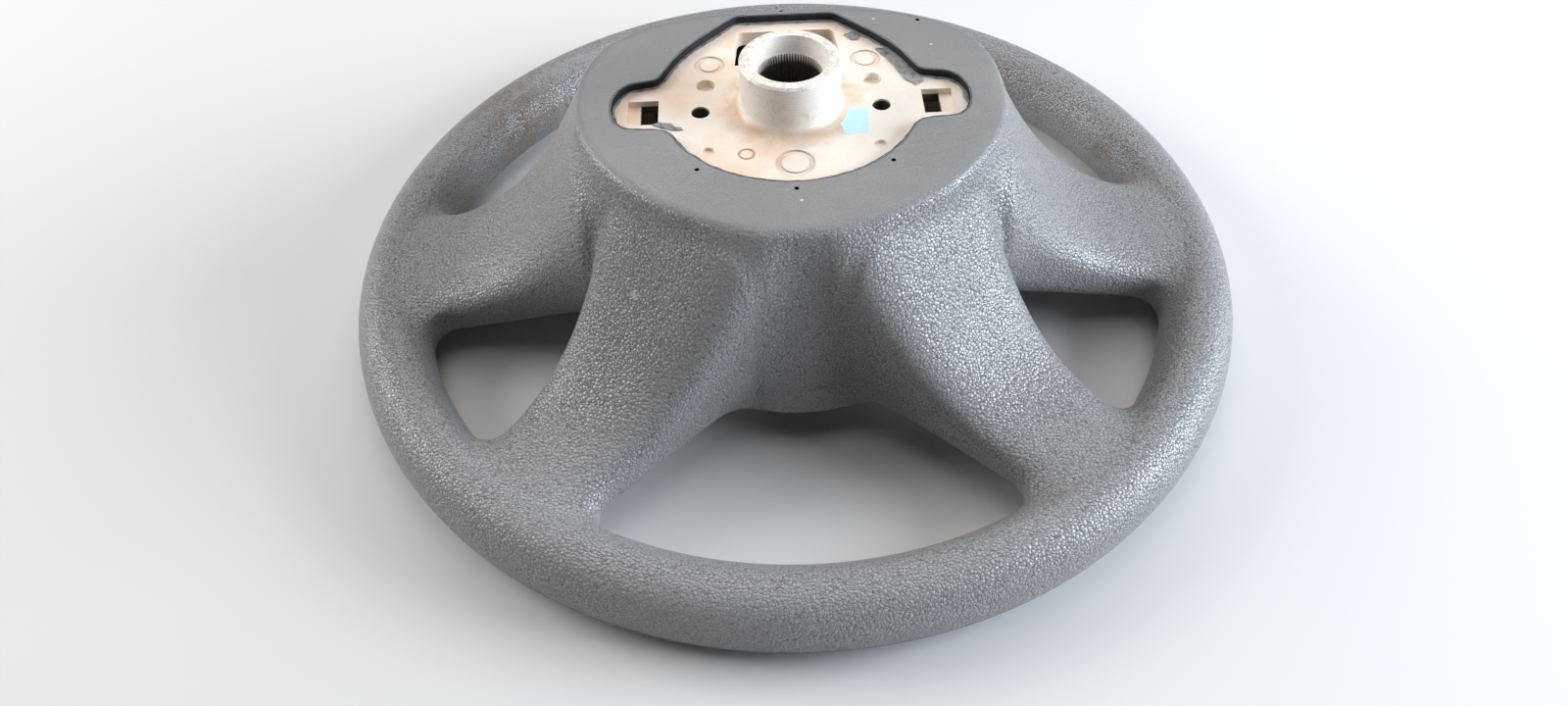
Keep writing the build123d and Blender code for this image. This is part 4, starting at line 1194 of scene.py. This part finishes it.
class WHEEL_OT_springs(bpy.types.Operator):
    """Wind the three coil springs"""

    bl_idname = "wheel.springs"
    bl_label = "Horn Springs"

    TURNS = 5
    STEPS = 32
    WIRE_RADIUS = 0.7 * MM
    WIRE_SIDES = 10
    WIRE_TINT = (0.14, 0.14, 0.15)
    TRAVEL = 2.5 * MM

    def coil(self, low, high):
        """Points and faces of a coil of round wire that fills the box between two corners."""
        radius = (high.x - low.x) / 2 - self.WIRE_RADIUS
        start, rise = low.z + self.WIRE_RADIUS, high.z - low.z - 2 * self.WIRE_RADIUS
        steps = self.TURNS * self.STEPS
        angle = np.linspace(0, 2 * math.pi * self.TURNS, steps + 1)
        outward = np.stack([np.cos(angle), np.sin(angle), np.zeros(steps + 1)], axis=1)
        middle = outward * radius + ((low.x + high.x) / 2, (low.y + high.y) / 2, start)
        middle[:, 2] += rise * np.linspace(0, 1, steps + 1)
        along = np.gradient(middle, axis=0)
        upward = np.cross(along, outward)
        upward /= np.linalg.norm(upward, axis=1)[:, None]
        section = circle(0.0, 0.0, self.WIRE_RADIUS, self.WIRE_SIDES)
        return ring_solid([
            np.array([middle[i] + out * outward[i] + up * upward[i] for out, up in section])
            for i in range(steps + 1)
        ])

    def execute(self, context):
        wire = plain_metal("spring_wire", context.scene.wheel_colours.spring, self.WIRE_TINT, 0.35, 200.0)
        for place in ("top_left", "top_right", "bottom"):
            node = "horn_spring_" + place
            low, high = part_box(node)
            spring = new_object("spring_coil_" + place, *self.coil(low, high), wire)
            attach(spring, WHEEL)
            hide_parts(node)
            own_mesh(spring)
        return {"FINISHED"}


class WHEEL_OT_module(bpy.types.Operator):
    """Finish the boss, the gas module and the small parts between pad and casting"""

    bl_idname = "wheel.module"
    bl_label = "Horn Pad Module"

    ZINC_TINT = (0.62, 0.50, 0.40)
    STEEL_TINT = (0.54, 0.54, 0.56)
    BRASS_TINT = (0.62, 0.42, 0.17)

    def execute(self, context):
        colours = context.scene.wheel_colours
        finishes = {
            "turned_alloy": turned_finish(colours),
            "pressed_steel": plain_metal("zinc", colours.zinc, self.ZINC_TINT, 0.38, 60.0),
            "bright_steel": plain_metal("plated_steel", colours.steel, self.STEEL_TINT, 0.32, 90.0),
            "spring_steel": bpy.data.materials["spring_wire"],
            "contact_brass": plain_metal("brass", colours.brass, self.BRASS_TINT, 0.30, 150.0),
            "guide_plastic": acetal_finish(colours),
        }
        for row in frame["record"]["subparts"]:
            if row["material_slot"] in finishes:
                dress(row["node"], finishes[row["material_slot"]])
        return {"FINISHED"}


class WHEEL_OT_stage(bpy.types.Operator):
    """Set the camera, the pale floor and the soft lamps"""

    bl_idname = "wheel.stage"
    bl_label = "Stage"

    WARM = (1.0, 0.985, 0.965)
    COOL = (0.82, 0.91, 1.0)
    # Each lamp's place, width, height, power and colour.
    LAMPS = {
        "back_window": ((0.10, 1.05, 1.25), 1.7, 1.3, 11.0, WARM),
        "right_window": ((1.38, -0.18, 0.51), 0.9, 0.8, 37.5, COOL),
        "left_window": ((-1.35, 0.35, 0.75), 0.9, 0.8, 18.0, WARM),
        "top_window": ((0.0, 0.0, 1.7), 1.2, 1.2, 6.5, WARM),
    }
    AIM = Vector((0, 0, 0.05))
    SKY_TINT = (0.95, 0.97, 1.0, 1)
    SENSOR_WIDTH = 36.0
    CLIP = (0.01, 20.0)
    FLOOR_HALF = 6.0

    def execute(self, context):
        stage = context.scene.wheel_stage
        self.set_camera(context, stage)
        self.set_floor(stage)
        for name, (place, width, height, power, tint) in self.LAMPS.items():
            lamp = bpy.data.lights.new(name, "AREA")
            lamp.shape = "RECTANGLE"
            lamp.size, lamp.size_y = width, height
            lamp.energy = power
            lamp.color = tint
            item = bpy.data.objects.new(name, lamp)
            item.location = place
            item.rotation_euler = (self.AIM - Vector(place)).to_track_quat("-Z", "Y").to_euler()
            context.scene.collection.objects.link(item)
        world = bpy.data.worlds.new("studio")
        context.scene.world = world
        world.use_nodes = True
        background = world.node_tree.nodes["Background"]
        background.inputs["Color"].default_value = self.SKY_TINT
        background.inputs["Strength"].default_value = stage.sky
        context.scene.view_settings.view_transform = "Standard"
        return {"FINISHED"}

    def set_camera(self, context, stage):
        """Stands the camera where the photograph was taken from."""
        data = bpy.data.cameras.new("camera")
        data.lens = stage.lens
        data.sensor_width = self.SENSOR_WIDTH
        data.clip_start, data.clip_end = self.CLIP
        camera = bpy.data.objects.new("camera", data)
        camera.matrix_world = Matrix.Translation(stage.place)
        turns = ((stage.azimuth, "Z"), (math.pi / 2 - stage.elevation, "X"), (stage.roll, "Z"))
        for angle, axis in turns:
            camera.matrix_world = camera.matrix_world @ Matrix.Rotation(angle, 4, axis)
        context.scene.collection.objects.link(camera)
        context.scene.camera = camera

    def set_floor(self, stage):
        """Lays a plain pale floor under the wheel."""
        finish = Finish("floor", stage.floor, 0.7, Specular_IOR_Level=0.2)
        tone = finish.mix(finish.noise(3.0, 2.0), stage.floor, scaled(stage.floor, 0.97))
        half = self.FLOOR_HALF
        corners = [(-half, -half, 0), (half, -half, 0), (half, half, 0), (-half, half, 0)]
        floor = new_object("floor", corners, [(0, 1, 2, 3)], finish.to_shader(Base_Color=tone))


class WHEEL_PT_sidebar(bpy.types.Panel):
    """Lists the wheel's pieces and their settings"""

    bl_idname = "WHEEL_PT_sidebar"
    bl_label = "Steering Wheel"
    bl_space_type = "VIEW_3D"
    bl_region_type = "UI"
    bl_category = "Wheel"

    def draw(self, context):
        for operator in OPERATORS:
            self.layout.operator(operator.bl_idname)
        for group in (context.scene.wheel_foam, context.scene.wheel_colours, context.scene.wheel_stage):
            box = self.layout.box()
            for name in group.bl_rna.properties.keys():
                if name not in ("rna_type", "name"):
                    box.prop(group, name)


GROUPS = {"wheel_foam": FoamSizes, "wheel_colours": FinishColours, "wheel_stage": StageSettings}
OPERATORS = (
    WHEEL_OT_foam_cover,
    WHEEL_OT_foam_flash,
    WHEEL_OT_parting_lines,
    WHEEL_OT_casting,
    WHEEL_OT_pad,
    WHEEL_OT_cushion,
    WHEEL_OT_springs,
    WHEEL_OT_module,
    WHEEL_OT_stage,
)
CLASSES = (*GROUPS.values(), *OPERATORS, WHEEL_PT_sidebar)


def register():
    """Registers the classes and hangs the settings on the scene."""
    for item in CLASSES:
        bpy.utils.register_class(item)
    for name, group in GROUPS.items():
        setattr(bpy.types.Scene, name, PointerProperty(type=group))


def unregister():
    """Takes away what register added."""
    for name in GROUPS:
        delattr(bpy.types.Scene, name)
    for item in reversed(CLASSES):
        bpy.utils.unregister_class(item)


def main():
    """Builds every piece and the stage."""
    register()
    bpy.ops.wheel.foam_cover()
    bpy.ops.wheel.foam_flash()
    bpy.ops.wheel.parting_lines()
    bpy.ops.wheel.casting()
    bpy.ops.wheel.pad()
    bpy.ops.wheel.cushion()
    bpy.ops.wheel.springs()
    bpy.ops.wheel.module()
    bpy.ops.wheel.stage()


if __name__ == "__main__":
    main()
